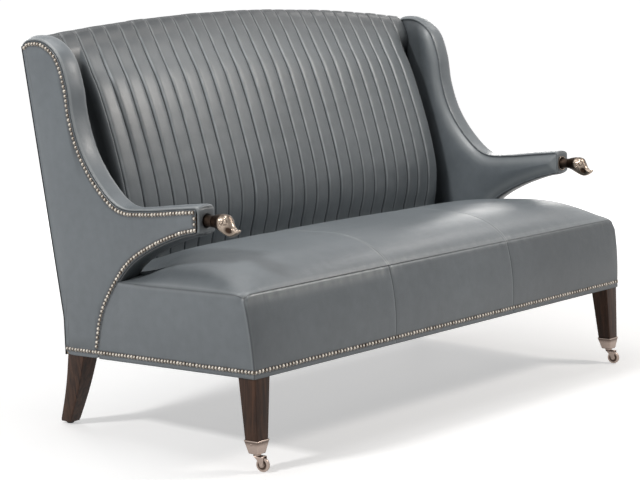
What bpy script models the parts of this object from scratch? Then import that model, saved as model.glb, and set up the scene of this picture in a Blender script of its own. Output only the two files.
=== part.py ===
"""Channel-backed leather settee with cast bird-head arm finials and front casters.

Blender 4.5, metres, +Z up. The settee faces -Y. Its pieces are laid out from the front face of the
base (y = 0) and the floor (z = 0). The empty "body" leans all that stands on the legs back by the
recline, the casters and glides stay level, and the empty "settee" centres the whole on the origin.
"""
import math

import bmesh
import bpy
from mathutils import Matrix, Vector

# Driving sizes of the whole
settee_width = 1.640
base_depth = 0.666
rail_underside_z = 0.235
seat_edge_z = 0.437
shoulder_z = 1.046
crest_top_z = 1.099
crest_end_drop = 0.054
back_lean_depth = 0.112
lean_start_z = 0.330
recline = math.radians(2.8)

# Frame timber
rail_thickness = 0.030
rail_height = 0.100
arm_frame_thickness = 0.040
post_width = 0.045
post_thickness = 0.022

# Upholstery sheets and gaps
leather_thickness = 0.0025
panel_thickness = 0.0045
back_sheet_thickness = 0.004
seat_gap = 0.0003
skirt_lap = 0.0025
arm_pad_width = 0.065
edge_wrap = 0.012

# Seat and inside back
seat_crown_height = 0.079
seat_hump_share = 0.14
seat_side_power = 5.2
seat_side_ease = 0.30
seat_depth_power = 2.7
seat_depth_ease = 1.07
seat_depth_skew = 0.83
seat_back_setback = 0.076
seat_front_slope = 0.018
strap_thickness = 0.0025
channel_count = 28
channel_depth = 0.008

# Arm front, where the finial is socketed
arm_front_y = 0.171
finial_z = 0.604
finial_inset = 0.035

# Legs and casters
front_leg_top = 0.055
front_leg_foot = 0.038
rear_leg_top_width = 0.053
rear_leg_top_depth = 0.060
rear_leg_foot = 0.036
rear_foot_y = 0.716
rear_foot_inset = 0.053
cup_floor_top_z = 0.050
wheel_radius = 0.018
wheel_width = 0.014
caster_trail = 0.0165
caster_trail_angle = math.radians(-78)

# Nail trim
nail_strip_width = 0.009
nail_strip_thickness = 0.0008
nail_inset = 0.008
base_nail_z = 0.249

half_width = settee_width / 2
rail_top_z = rail_underside_z + rail_height
base_underside_z = rail_underside_z - skirt_lap
frame_face_x = half_width - panel_thickness - seat_gap
arm_inner_x = half_width - arm_pad_width
inner_half_width = arm_inner_x - seat_gap
strap_top_z = rail_top_z + seat_gap + strap_thickness
seam_gap = 2 * seat_gap
rail_front_y = leather_thickness + seam_gap + seat_gap
finial_x = half_width - finial_inset
seat_back_y = base_depth - seat_back_setback
sides = (("left", -1), ("right", 1))

for leftover in list(bpy.data.objects):
    bpy.data.objects.remove(leftover, do_unlink=True)

settee = bpy.data.objects.new("settee", None)
bpy.context.scene.collection.objects.link(settee)
body = bpy.data.objects.new("body", None)
body.parent = settee
body.rotation_euler = (-recline, 0, 0)
bpy.context.scene.collection.objects.link(body)


def level(y, z):
    """A (y, z) place on the leaning body, as the upright (y, z) over the floor."""
    return (y * math.cos(recline) + z * math.sin(recline), z * math.cos(recline) - y * math.sin(recline))


def leaning(y, z):
    """An upright (y, z) place over the floor, as the (y, z) of the leaning body."""
    return (y * math.cos(recline) - z * math.sin(recline), z * math.cos(recline) + y * math.sin(recline))


# Materials
def material(name, colour, roughness, metallic=0):
    made = bpy.data.materials.new(name)
    made.use_nodes = True
    shader = made.node_tree.nodes["Principled BSDF"]
    shader.inputs["Base Color"].default_value = (*colour, 1)
    shader.inputs["Roughness"].default_value = roughness
    shader.inputs["Metallic"].default_value = metallic
    made.diffuse_color = (*colour, 1)
    return made


leather = material("blue_grey_leather", (0.17, 0.195, 0.21), 0.38)
leather_dark = material("inside_back_leather", (0.15, 0.17, 0.185), 0.38)
nail_metal = material("antique_nail_brass", (0.52, 0.40, 0.30), 0.32, 1)
bronze = material("cast_bronze", (0.45, 0.36, 0.29), 0.30, 1)
neck_bronze = material("dark_bronze", (0.10, 0.07, 0.05), 0.45, 1)
cup_metal = material("brushed_nickel", (0.60, 0.50, 0.44), 0.35, 1)
leg_wood = material("dark_stained_leg", (0.035, 0.022, 0.015), 0.40)
frame_wood = material("frame_hardwood", (0.50, 0.34, 0.20), 0.70)
strap_web = material("elastic_webbing", (0.10, 0.10, 0.09), 0.85)
seat_foam_stuff = material("seat_foam_pale", (0.78, 0.74, 0.62), 0.90)
cambric = material("black_cambric", (0.012, 0.012, 0.012), 0.95)
glide_nylon = material("dark_nylon", (0.02, 0.018, 0.016), 0.50)


# Mesh helpers
def add_object(name, mesh, stuff, parent=body):
    mesh.materials.append(stuff)
    made = bpy.data.objects.new(name, mesh)
    bpy.context.scene.collection.objects.link(made)
    made.parent = parent
    return made


def finish_mesh(name, form):
    bmesh.ops.recalc_face_normals(form, faces=form.faces)
    mesh = bpy.data.meshes.new(name)
    form.to_mesh(mesh)
    form.free()
    return mesh


def loft(name, rings):
    """One closed body through rings of equal point count, with flat caps on both ends."""
    form = bmesh.new()
    rows = [[form.verts.new(point) for point in ring] for ring in rings]
    count = len(rows[0])
    for near, far in zip(rows, rows[1:]):
        for i in range(count):
            j = (i + 1) % count
            form.faces.new((near[i], near[j], far[j], far[i]))
    form.faces.new(rows[0])
    form.faces.new(rows[-1])
    return finish_mesh(name, form)


def box(name, low, high):
    form = bmesh.new()
    bmesh.ops.create_cube(form, size=1)
    size = Vector(high) - Vector(low)
    middle = (Vector(high) + Vector(low)) / 2
    place = Matrix.Translation(middle) @ Matrix.Diagonal((*size, 1))
    bmesh.ops.transform(form, matrix=place, verts=form.verts)
    return finish_mesh(name, form)


def mirrored_box(name, side, low, high):
    """A box given for the right side, put on the side that the sign asks for."""
    if side > 0:
        return box(name, low, high)
    return box(name, (-high[0], low[1], low[2]), (-low[0], high[1], high[2]))


def slab(name, outline, near_x, far_x):
    """A plate in the side plane: an outline of (y, z) points between two x values."""
    return loft(name, [[(x, y, z) for y, z in outline] for x in (near_x, far_x)])


def lathe(name, profile, steps, axis="Z", centre=(0, 0, 0)):
    """A closed ring or disc: (radius, height) points turned about an axis through centre."""
    turn = {"Z": Matrix.Identity(3), "Y": Matrix.Rotation(math.radians(-90), 3, "X"),
            "X": Matrix.Rotation(math.radians(90), 3, "Y")}[axis]
    form = bmesh.new()
    rows = []
    for k in range(steps):
        angle = math.tau * k / steps
        row = []
        for radius, height in profile:
            point = Vector((radius * math.cos(angle), radius * math.sin(angle), height))
            row.append(form.verts.new(turn @ point + Vector(centre)))
        rows.append(row)
    for near, far in zip(rows, rows[1:] + rows[:1]):
        for i in range(len(profile)):
            j = (i + 1) % len(profile)
            form.faces.new((near[i], near[j], far[j], far[i]))
    return finish_mesh(name, form)


def rod(name, radii_heights, steps, axis="Z", centre=(0, 0, 0)):
    """A solid turned body: rings of (radius, height) from one end to the other."""
    turn = {"Z": Matrix.Identity(3), "Y": Matrix.Rotation(math.radians(-90), 3, "X"),
            "X": Matrix.Rotation(math.radians(90), 3, "Y")}[axis]
    rings = []
    for radius, height in radii_heights:
        ring = []
        for k in range(steps):
            angle = math.tau * k / steps
            point = Vector((radius * math.cos(angle), radius * math.sin(angle), height))
            ring.append(turn @ point + Vector(centre))
        rings.append(ring)
    return loft(name, rings)


def cut(mesh, cutters, operation="DIFFERENCE"):
    """The mesh with each cutter mesh taken off, or joined on, by Blender's exact Boolean."""
    work = bpy.data.objects.new("work", mesh)
    bpy.context.scene.collection.objects.link(work)
    tools = []
    for cutter in cutters:
        tool = bpy.data.objects.new("tool", cutter)
        bpy.context.scene.collection.objects.link(tool)
        tools.append(tool)
        step = work.modifiers.new("step", "BOOLEAN")
        step.operation = operation
        step.object = tool
    bpy.context.view_layer.update()
    seen = work.evaluated_get(bpy.context.evaluated_depsgraph_get())
    result = bpy.data.meshes.new_from_object(seen)
    result.materials.clear()
    for spare in [work] + tools:
        bpy.data.objects.remove(spare, do_unlink=True)
    return result


def curve_through(points, steps):
    """Catmull-Rom points from the first to the last point, ends included."""
    ends = [2 * Vector(points[0]) - Vector(points[1])] + [Vector(p) for p in points]
    ends.append(2 * Vector(points[-1]) - Vector(points[-2]))
    run = []
    for a, b, c, d in zip(ends, ends[1:], ends[2:], ends[3:]):
        for k in range(steps):
            t = k / steps
            run.append((2 * b + (c - a) * t + (2 * a - 5 * b + 4 * c - d) * t * t
                        + (3 * b - a - 3 * c + d) * t * t * t) / 2)
    run.append(ends[-2])
    return [tuple(p) for p in run]


def inset(outline, distance):
    """A closed outline moved inwards by a distance; the outline runs clockwise in (y, z)."""
    moved = []
    count = len(outline)
    for i in range(count):
        here = Vector(outline[i])
        before = (here - Vector(outline[i - 1])).normalized()
        after = (Vector(outline[(i + 1) % count]) - here).normalized()
        normal = Vector((before.y + after.y, -before.x - after.x)).normalized()
        stretch = max(normal.dot(Vector((before.y, -before.x))), 0.5)
        moved.append(tuple(here + normal * (distance / stretch)))
    return moved


# Shapes that several pieces share
def back_plane_y(z):
    """Outer face of the back: upright above the base, then leaning back."""
    rise = max(0, z - lean_start_z) / (shoulder_z - lean_start_z)
    return base_depth + back_lean_depth * rise


def crest_z(x):
    return crest_top_z - crest_end_drop * (x / half_width) ** 2


frame_back_inset = back_sheet_thickness + seat_gap


def frame_back_y(z):
    return back_plane_y(z) - frame_back_inset


# Side outline of the wing and arm: (y, z) shares of the base depth and of the height to the shoulder
wing_top_shares = [(1.119, 1.0), (1.036, 0.994), (0.961, 0.947), (0.920, 0.857), (0.901, 0.753),
                   (0.853, 0.644), (0.764, 0.546), (0.661, 0.481), (0.526, 0.474), (0.363, 0.485)]
underside_shares = [(0.342, 0.409), (0.480, 0.369), (0.604, 0.315), (0.689, 0.2465), (0.769, 0.148),
                    (0.805, 0.045), (0.806, 0.0)]
arm_front_top_share = 0.492
arm_front_low_share = 0.4235
shoulder_corner_drop = 0.012


def side_point(shares):
    return (shares[0] * base_depth, base_underside_z + shares[1] * (shoulder_z - base_underside_z))


def arm_outline():
    """Clockwise from the shoulder's back corner: over the wing, along the arm, back to the base."""
    corner_z = shoulder_z - shoulder_corner_drop
    corner = (frame_back_y(corner_z), corner_z)
    front_top = (arm_front_y, side_point((0, arm_front_top_share))[1])
    front_low = (arm_front_y, side_point((0, arm_front_low_share))[1])
    top = curve_through([corner] + [side_point(s) for s in wing_top_shares] + [front_top], 3)
    under = curve_through([front_low] + [side_point(s) for s in underside_shares], 2)
    back = [(frame_back_y(z), z) for z in (base_underside_z, lean_start_z)]
    return (top + under + back)[::-1]


outline = arm_outline()


def outline_above(points, floor_z):
    """The outline cut off flat at a height, keeping what is above it."""
    kept = []
    for i, (y, z) in enumerate(points):
        next_y, next_z = points[(i + 1) % len(points)]
        if z >= floor_z:
            kept.append((y, z))
        if (z - floor_z) * (next_z - floor_z) < 0:
            t = (floor_z - z) / (next_z - z)
            kept.append((y + (next_y - y) * t, floor_z))
    return kept


# Seat rails and corner blocks
back_rail_front_y = base_depth - frame_back_inset - post_thickness
side_rail_inner_x = frame_face_x - rail_thickness
block_leg = 0.060
block_drop = 0.010

add_object("front_rail", box("front_rail", (-frame_face_x, rail_front_y, rail_underside_z),
                             (frame_face_x, rail_front_y + rail_thickness, rail_top_z)), frame_wood)
add_object("back_rail", box("back_rail", (-side_rail_inner_x + seat_gap, back_rail_front_y, rail_underside_z),
                            (side_rail_inner_x - seat_gap, base_depth - frame_back_inset, rail_top_z)),
           frame_wood)
for word, side in sides:
    name = "side_rail_" + word
    low = (side_rail_inner_x, rail_front_y + rail_thickness + seat_gap, rail_underside_z)
    high = (frame_face_x, base_depth - frame_back_inset, rail_top_z)
    add_object(name, mirrored_box(name, side, low, high), frame_wood)
    corner_x = side_rail_inner_x - seat_gap
    for place, corner_y, turn in (("front", rail_front_y + rail_thickness + seat_gap, 1),
                                  ("back", back_rail_front_y - seat_gap, -1)):
        name = "corner_block_" + place + "_" + word
        far_y = corner_y + turn * block_leg
        plan = [(corner_x, corner_y), (corner_x - block_leg, corner_y), (corner_x, far_y)]
        heights = (rail_underside_z, rail_top_z - block_drop)
        rings = [[(side * x, y, z) for x, y in plan] for z in heights]
        add_object(name, loft(name, rings), frame_wood)


# Elastic straps across the rails
strap_count = 7
strap_width = 0.060
strap_end_inset = 0.006
strap_span = inner_half_width - post_width - strap_width
for number in range(strap_count):
    x = -strap_span + 2 * strap_span * number / (strap_count - 1)
    name = "seat_strap_%d" % (number + 1)
    low = (x - strap_width / 2, rail_front_y + strap_end_inset, rail_top_z + seat_gap)
    high = (x + strap_width / 2, base_depth - frame_back_inset - strap_end_inset, strap_top_z)
    add_object(name, box(name, low, high), strap_web)


# Back posts, tack rail, slats and crest rail
crest_rail_height = 0.075
crest_rail_cover = 0.050
tack_rail_z = 0.450
tack_rail_height = 0.040
slat_x = 0.250
slat_width = 0.050


def leaning_bar(name, x_low, x_high, z_low, z_high):
    """A board that follows the back plane from one height to another."""
    rings = []
    for z in (z_low, z_high):
        y = frame_back_y(z)
        front_y = y - post_thickness
        rings.append([(x_low, front_y, z), (x_high, front_y, z), (x_high, y, z), (x_low, y, z)])
    return loft(name, rings)


def crest_rail_low_z(x):
    return crest_z(x) - crest_rail_cover - crest_rail_height


post_top_z = crest_rail_low_z(inner_half_width) - seat_gap
for word, side in sides:
    name = "back_post_" + word
    x_low, x_high = sorted((side * inner_half_width, side * (inner_half_width - post_width)))
    add_object(name, leaning_bar(name, x_low, x_high, rail_top_z + seat_gap, post_top_z), frame_wood)
    name = "back_slat_" + word
    x_mid = side * slat_x
    slat_low_z = tack_rail_z + tack_rail_height + seat_gap
    slat_top_z = crest_rail_low_z(slat_x + slat_width / 2) - seat_gap
    slat = leaning_bar(name, x_mid - slat_width / 2, x_mid + slat_width / 2, slat_low_z, slat_top_z)
    add_object(name, slat, frame_wood)
tack_half = inner_half_width - post_width - seat_gap
tack_rail = leaning_bar("back_tack_rail", -tack_half, tack_half, tack_rail_z, tack_rail_z + tack_rail_height)
add_object("back_tack_rail", tack_rail, frame_wood)
crest_steps = 12
crest_rings = []
for k in range(crest_steps + 1):
    x = inner_half_width * (2 * k / crest_steps - 1)
    low_z = crest_rail_low_z(x)
    top_z = low_z + crest_rail_height
    low_y, top_y = frame_back_y(low_z), frame_back_y(top_z)
    crest_rings.append([(x, low_y - post_thickness, low_z), (x, low_y, low_z),
                        (x, top_y, top_z), (x, top_y - post_thickness, top_z)])
add_object("crest_rail", loft("crest_rail", crest_rings), frame_wood)


# Arm and wing frames: solid boards inset inside the upholstered edge
arm_frame_outline = outline_above(inset(outline, edge_wrap + seat_gap), rail_top_z + seat_gap)
tenon_radius = 0.0075
tenon_length = 0.032
bore_slack = 0.0003
bore_sides = 16
for word, side in sides:
    name = "arm_frame_" + word
    near, far = side * frame_face_x, side * (frame_face_x - arm_frame_thickness)
    board = slab(name, arm_frame_outline, near, far)
    bore_start = arm_front_y + edge_wrap - tenon_length
    bore_radius = tenon_radius + bore_slack
    bore = rod("bore", [(bore_radius, 0), (bore_radius, 2 * tenon_length + bore_slack)],
               bore_sides, "Y", (side * finial_x, bore_start, finial_z))
    add_object(name, cut(board, [bore]), frame_wood)


# Inside arm and wing pads: foam and leather wrapped round the board, open towards the outside panel
socket_radius = 0.0185
pad_round = 0.012
pad_half_round = 0.004
for word, side in sides:
    name = "arm_pad_" + word
    pad_outline = outline_above(outline, rail_top_z + seat_gap)
    outer_x, inner_x = frame_face_x, arm_inner_x
    stations = [(outer_x, 0), (inner_x + pad_round, 0), (inner_x + pad_half_round, pad_half_round),
                (inner_x, pad_round)]
    rings = []
    for x, draw in stations:
        ring = inset(pad_outline, draw) if draw else pad_outline
        rings.append([(side * x, y, z) for y, z in ring])
    pad = loft(name, rings)
    pocket_outline = inset(outline, edge_wrap)
    pocket = slab("pocket", pocket_outline, side * (outer_x + pad_round),
                  side * (frame_face_x - arm_frame_thickness - seat_gap))
    socket = rod("socket", [(socket_radius, 0), (socket_radius, edge_wrap + 2 * pad_half_round)], 24, "Y",
                 (side * finial_x, arm_front_y - pad_half_round, finial_z))
    add_object(name, cut(pad, [pocket, socket]), leather)


# Outside arm panels
for word, side in sides:
    name = "outside_arm_panel_" + word
    add_object(name, slab(name, outline, side * (half_width - panel_thickness), side * half_width), leather)


# Seat: a leather cover over a foam block, both cut clear of the arms
cover_side_x = half_width - seat_gap


def seat_surface(name, half_x, front_y, rear_y, low_z, drop, columns, rows):
    """A closed crowned block: upright sides, sloped front top edge and a domed top."""
    form = bmesh.new()
    top = []
    for j in range(rows + 1):
        v = (1 - math.cos(math.pi * j / rows)) / 2
        depth_swell = (1 - abs(2 * v ** seat_depth_skew - 1) ** seat_depth_power) ** seat_depth_ease
        line = []
        for i in range(columns + 1):
            u = math.sin(math.pi * (i / columns - 1 / 2))
            side_swell = (1 - abs(u) ** seat_side_power) ** seat_side_ease
            crown_share = (seat_hump_share * (1 - u * u) + (1 - seat_hump_share) * side_swell) * depth_swell
            y = front_y + seat_front_slope + (rear_y - front_y - seat_front_slope) * v
            z = seat_edge_z + seat_crown_height * crown_share - drop
            line.append(form.verts.new((half_x * u, y, z)))
        top.append(line)
    rim = top[0] + [line[-1] for line in top[1:]] + top[-1][-2::-1] + [line[0] for line in top[-2:0:-1]]
    rings = [rim]
    for z in [rail_top_z, low_z] if low_z < rail_top_z else [low_z]:
        lean = seat_front_slope * max(0, z - rail_top_z) / (seat_edge_z - rail_top_z)
        ring = []
        for vert in rim:
            at_front = abs(vert.co.y - front_y - seat_front_slope) < seat_gap
            ring.append(form.verts.new((vert.co.x, front_y + lean if at_front else vert.co.y, z)))
        rings.append(ring)
    for near, far in zip(rings, rings[1:]):
        for i in range(len(rim)):
            j = (i + 1) % len(rim)
            form.faces.new((near[i], near[j], far[j], far[i]))
    for near, far in zip(top, top[1:]):
        for i in range(columns):
            form.faces.new((near[i], near[i + 1], far[i + 1]))
            form.faces.new((near[i], far[i + 1], far[i]))
    form.faces.new(rings[-1])
    return finish_mesh(name, form)


def arm_clearance(side, clearance):
    """The side outline grown by a clearance, from inside the arm pad to well past the outside."""
    low = []
    for y, z in inset(outline, -clearance):
        pair = [(y, z), (y, z - rail_height)] if z < rail_underside_z else [(y, z)]
        low += pair if y > seat_back_y else pair[::-1]
    return slab("clearance", low, side * (arm_inner_x - clearance), side * (half_width + rail_thickness))


cover = seat_surface("seat_cover", cover_side_x, 0, seat_back_y, base_underside_z, 0, 28, 14)
below_base_z = base_underside_z - rail_thickness
hollow = seat_surface("hollow", cover_side_x - leather_thickness, leather_thickness,
                      seat_back_y - leather_thickness, below_base_z, leather_thickness, 12, 6)
rear_opening = box("rear_opening", (-half_width, seat_back_y - rail_thickness, below_base_z),
                   (half_width, base_depth, strap_top_z + seat_gap))
arm_cuts = [arm_clearance(side, seat_gap) for word, side in sides]
add_object("seat_cover", cut(cover, [hollow, rear_opening] + arm_cuts), leather)

foam_skin = leather_thickness + seat_gap
foam = seat_surface("seat_foam", cover_side_x - foam_skin, foam_skin, seat_back_y - foam_skin,
                    strap_top_z + seat_gap, foam_skin, 12, 6)
arm_cuts = [arm_clearance(side, 2 * seat_gap) for word, side in sides]
add_object("seat_foam", cut(foam, arm_cuts), seat_foam_stuff)


# Inside back: padded leather channels, bulged above the seat and rolled over the crest
channel_bottom_z = 0.395
# height share up to the roll, and the surface's distance in front of the back plane
channel_front_shares = [(0.0, 0.600), (0.115, 0.630), (0.17, 0.735), (0.23, 0.850), (0.33, 0.935),
                        (0.45, 0.918), (0.56, 0.857), (0.67, 0.779), (0.77, 0.693), (0.86, 0.593),
                        (0.93, 0.471)]
channel_depth_at_seat = 0.140
# the stuffing thins towards the wings, above the seat, by this share over about this distance
end_thinning = 0.17
end_reach = 0.075
roll_height = 0.070
roll_front = 0.048
# places over the roll: drop from the crest, distance in front of the back plane
roll_places = [(0.045, 0.034), (0.023, 0.022)]
roll_top_front = 0.010
roll_puff_share = 0.7
channel_lip = 0.035
columns_per_channel = 3
channel_columns = channel_count * columns_per_channel


def channel_section(x, puff):
    """Closed (y, z) loop of the inside back at one x; puff is how far the ridge stands out."""
    top_z = crest_z(x)
    roll_z = top_z - roll_height
    loop = []
    thinning = end_thinning * math.exp((abs(x) - inner_half_width) / end_reach)
    for height_share, depth_share in channel_front_shares:
        z = channel_bottom_z + height_share * (roll_z - channel_bottom_z)
        ease = min(1, height_share / channel_front_shares[1][0]) if height_share else 0
        above_seat = min(1, max(0, height_share - channel_front_shares[1][0]) / channel_front_shares[1][0])
        stuffing = depth_share * channel_depth_at_seat * (1 - thinning * above_seat)
        loop.append((back_plane_y(z) - stuffing - puff * ease, z))
    loop.append((back_plane_y(roll_z) - roll_front - puff, roll_z))
    swell = roll_puff_share * puff
    for drop, front in roll_places:
        loop.append((back_plane_y(top_z - drop) - front - swell, top_z - drop + swell))
    loop.append((back_plane_y(top_z) - roll_top_front, top_z - channel_depth + puff))
    loop.append((back_plane_y(top_z - channel_lip), top_z - channel_lip))
    rail_top = top_z - crest_rail_cover + seat_gap
    loop.append((back_plane_y(top_z - channel_lip) - frame_back_inset, top_z - channel_lip))
    loop.append((frame_back_y(rail_top), rail_top))
    loop.append((frame_back_y(rail_top) - post_thickness - seat_gap, rail_top))
    for z in (tack_rail_z + (rail_top - tack_rail_z) / 2, tack_rail_z, channel_bottom_z):
        loop.append((frame_back_y(z) - post_thickness - 2 * seat_gap, z))
    return loop


channel_rings = []
for k in range(channel_columns + 1):
    x = inner_half_width * (2 * k / channel_columns - 1)
    puff = 0 if k % columns_per_channel == 0 else channel_depth
    channel_rings.append([(x, y, z) for y, z in channel_section(x, puff)])
add_object("channel_back", loft("channel_back", channel_rings), leather_dark)


# Outside back sheet
sheet_columns = 12
form = bmesh.new()
faces_of_sheet = []
for inward in (0, back_sheet_thickness):
    grid = [[], [], []]
    for i in range(sheet_columns + 1):
        x = (half_width - seat_gap) * (2 * i / sheet_columns - 1)
        for line, z in zip(grid, (base_underside_z, lean_start_z, crest_z(x) - channel_lip - seat_gap)):
            line.append(form.verts.new((x, back_plane_y(z) - inward, z)))
    for near, far in zip(grid, grid[1:]):
        for i in range(sheet_columns):
            form.faces.new((near[i], near[i + 1], far[i + 1], far[i]))
    right_edge = [line[-1] for line in grid[1:]]
    left_edge = [line[0] for line in grid[-2:0:-1]]
    faces_of_sheet.append(grid[0] + right_edge + grid[-1][-2::-1] + left_edge)
outer_rim, inner_rim = faces_of_sheet
for i in range(len(outer_rim)):
    j = (i + 1) % len(outer_rim)
    form.faces.new((outer_rim[i], outer_rim[j], inner_rim[j], inner_rim[i]))
add_object("outside_back", finish_mesh("outside_back", form), leather)


# Nail trim strips
def ribbon(name, path, side):
    """A flat strip on the side plane along an open (y, z) path."""
    near_x = side * (half_width + seat_gap)
    far_x = side * (half_width + seat_gap + nail_strip_thickness)
    rings = []
    for i, point in enumerate(path):
        before = Vector(path[max(i - 1, 0)])
        after = Vector(path[min(i + 1, len(path) - 1)])
        along = (after - before).normalized()
        across = Vector((along.y, -along.x)) * nail_strip_width / 2
        edges = (Vector(point) - across, Vector(point) + across)
        rings.append([(near_x, *edges[0]), (near_x, *edges[1]), (far_x, *edges[1]), (far_x, *edges[0])])
    return loft(name, rings)


base_nail_top_z = base_nail_z + nail_strip_width / 2 + seat_gap
nail_path = [p for p in inset(outline, nail_inset) if p[1] > base_nail_top_z + nail_strip_width / 2]
nail_start = max(range(len(nail_path)), key=lambda i: nail_path[i][0] + nail_path[i][1])
back_edge = {p for p in nail_path if p[0] > base_depth - rail_thickness and p[1] < nail_path[nail_start][1]
             and abs(p[0] - frame_back_y(p[1]) + nail_inset) < nail_inset / 2}
nail_path = [p for p in nail_path if p not in back_edge]
foot = max(range(len(nail_path)), key=lambda i: -nail_path[i][1])
nail_path = nail_path[foot:] + nail_path[:foot]
nail_path = [(nail_path[0][0], base_nail_top_z)] + nail_path
for word, side in sides:
    name = "arm_nails_" + word
    add_object(name, ribbon(name, nail_path, side), nail_metal)
    name = "base_nails_" + word
    rear_y = base_depth - frame_back_inset - nail_inset / 2
    low = (half_width + seat_gap, nail_strip_width / 2, base_nail_z - nail_strip_width / 2)
    high = (half_width + seat_gap + nail_strip_thickness, rear_y, base_nail_z + nail_strip_width / 2)
    add_object(name, mirrored_box(name, side, low, high), nail_metal)
add_object("base_nails_front", box("base_nails_front",
                                   (-half_width + nail_strip_width / 2, -seat_gap - nail_strip_thickness,
                                    base_nail_z - nail_strip_width / 2),
                                   (half_width - nail_strip_width / 2, -seat_gap,
                                    base_nail_z + nail_strip_width / 2)), nail_metal)


# Finials: neck, cast head and the ring round the socket
neck_radius = 0.0150
neck_joint_y = 0.143
neck_waist = 0.0008
head_length = 0.0805
head_height = 0.055
head_width = 0.038
ring_outer = 0.0215
ring_inner = 0.0182
ring_depth = 0.003
# along, top, bottom and width shares of the head's length, height and width
head_shares = [(0.0, 0.273, -0.273, 0.789), (0.06, 0.310, -0.325, 0.86), (0.161, 0.345, -0.382, 0.921),
               (0.311, 0.364, -0.491, 1.0), (0.460, 0.345, -0.582, 0.974), (0.540, 0.295, -0.625, 0.93),
               (0.609, 0.218, -0.645, 0.868), (0.708, 0.055, -0.645, 0.763), (0.783, -0.118, -0.618, 0.684),
               (0.882, -0.255, -0.564, 0.642), (0.955, -0.315, -0.500, 0.570), (1.0, -0.350, -0.430, 0.330)]
head_sides = 16
for word, side in sides:
    socket_at = (side * finial_x, 0, finial_z)
    plate_y = arm_front_y + edge_wrap
    name = "finial_neck_" + word
    stations = [(tenon_radius, plate_y + tenon_length - seat_gap), (tenon_radius, plate_y - seat_gap),
                (neck_radius, plate_y - seat_gap), (neck_radius, arm_front_y),
                (neck_radius - neck_waist, (arm_front_y + neck_joint_y) / 2),
                (neck_radius, neck_joint_y + seat_gap)]
    add_object(name, rod(name, stations, head_sides, "Y", socket_at), neck_bronze)
    name = "finial_head_" + word
    rings = []
    for along, top, bottom, width in head_shares:
        middle_z = finial_z + head_height * (top + bottom) / 2
        half_z = head_height * (top - bottom) / 2
        ring = []
        for k in range(head_sides):
            angle = math.tau * k / head_sides
            ring.append((side * finial_x + head_width / 2 * width * math.cos(angle),
                         neck_joint_y - head_length * along, middle_z + half_z * math.sin(angle)))
        rings.append(ring)
    add_object(name, loft(name, rings), bronze)
    name = "socket_ring_" + word
    lip = ring_depth / 3
    profile = [(ring_inner, 0), (ring_outer, 0), (ring_outer, ring_depth - lip),
               (ring_outer - lip, ring_depth), (ring_inner + lip, ring_depth), (ring_inner, ring_depth - lip)]
    ring_at = (side * finial_x, arm_front_y - seat_gap - ring_depth, finial_z)
    add_object(name, lathe(name, profile, 24, "Y", ring_at), cup_metal)


# Front legs, square and tapered on the inner faces, each in a caster cup
leg_outer_x = frame_face_x
leg_front_y = rail_front_y
cup_wall = 0.002
cup_height = 0.030
cup_rim = 0.0012
cup_rim_height = 0.004
cup_floor = 0.004
swivel_radius = 0.004
leg_top_z = rail_underside_z - seat_gap
leg_foot_z = cup_floor_top_z + seat_gap
screw_radius = 0.0014
screw_head_radius = 0.0032
screw_head_height = 0.0012
screw_crown_share = 0.6
screw_length = 0.009


def leg_side(z):
    """Side of the square leg at a height, wider at the top."""
    rise = (z - leg_foot_z) / (leg_top_z - leg_foot_z)
    return front_leg_foot + (front_leg_top - front_leg_foot) * rise


def square(side, z, grow):
    """Square section of the right or left leg at a height, grown outwards on all sides."""
    width = leg_side(z)
    x_out, x_in = leg_outer_x + grow, leg_outer_x - width - grow
    y_front, y_rear = leg_front_y - grow, leg_front_y + width + grow
    plan = ((x_out, y_front), (x_in, y_front), (x_in, y_rear), (x_out, y_rear))
    return [(side * x, y, z) for x, y in plan]


cup_top_z = cup_floor_top_z + cup_height
cup_bottom_z = cup_floor_top_z - cup_floor
caster_x = leg_outer_x - front_leg_foot / 2
caster_y = leg_front_y + front_leg_foot / 2
screw_z = cup_floor_top_z + cup_height / 2
for word, side in sides:
    screw_face_x = side * leg_outer_x - cup_wall if side < 0 else leg_outer_x - leg_side(screw_z) - cup_wall
    screw_centre = (screw_face_x - seat_gap, leg_front_y + leg_side(screw_z) / 2, screw_z)
    screw_bore = screw_radius + bore_slack
    bore_profile = [(screw_bore, -screw_length), (screw_bore, screw_length + bore_slack)]

    name = "front_leg_" + word
    leg = loft(name, [square(side, z, 0) for z in (leg_foot_z, leg_top_z)])
    add_object(name, cut(leg, [rod("bore", bore_profile, 12, "X", screw_centre)]), leg_wood)

    name = "caster_cup_" + word
    rim_z = cup_top_z - cup_rim_height
    outer = [square(side, cup_bottom_z, cup_wall), square(side, rim_z, cup_wall),
             square(side, rim_z, cup_wall + cup_rim), square(side, cup_top_z, cup_wall + cup_rim)]
    inner = [square(side, cup_floor_top_z, seat_gap), square(side, cup_top_z + cup_rim_height, seat_gap)]
    pin_bore_radius = swivel_radius + bore_slack
    pin_bore = rod("bore", [(pin_bore_radius, -cup_wall), (pin_bore_radius, cup_floor + cup_wall)],
                   16, "Z", (side * caster_x, caster_y, cup_bottom_z))
    cutters = [loft("inside", inner), pin_bore, rod("bore", bore_profile, 12, "X", screw_centre)]
    add_object(name, cut(loft(name, outer), cutters), cup_metal)

    name = "cup_screw_" + word
    head = [(screw_head_radius * screw_crown_share, -screw_head_height),
            (screw_head_radius, -screw_head_height / 2),
            (screw_head_radius, 0), (screw_radius, 0), (screw_radius, screw_length)]
    add_object(name, rod(name, head, 12, "X", screw_centre), cup_metal)


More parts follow.
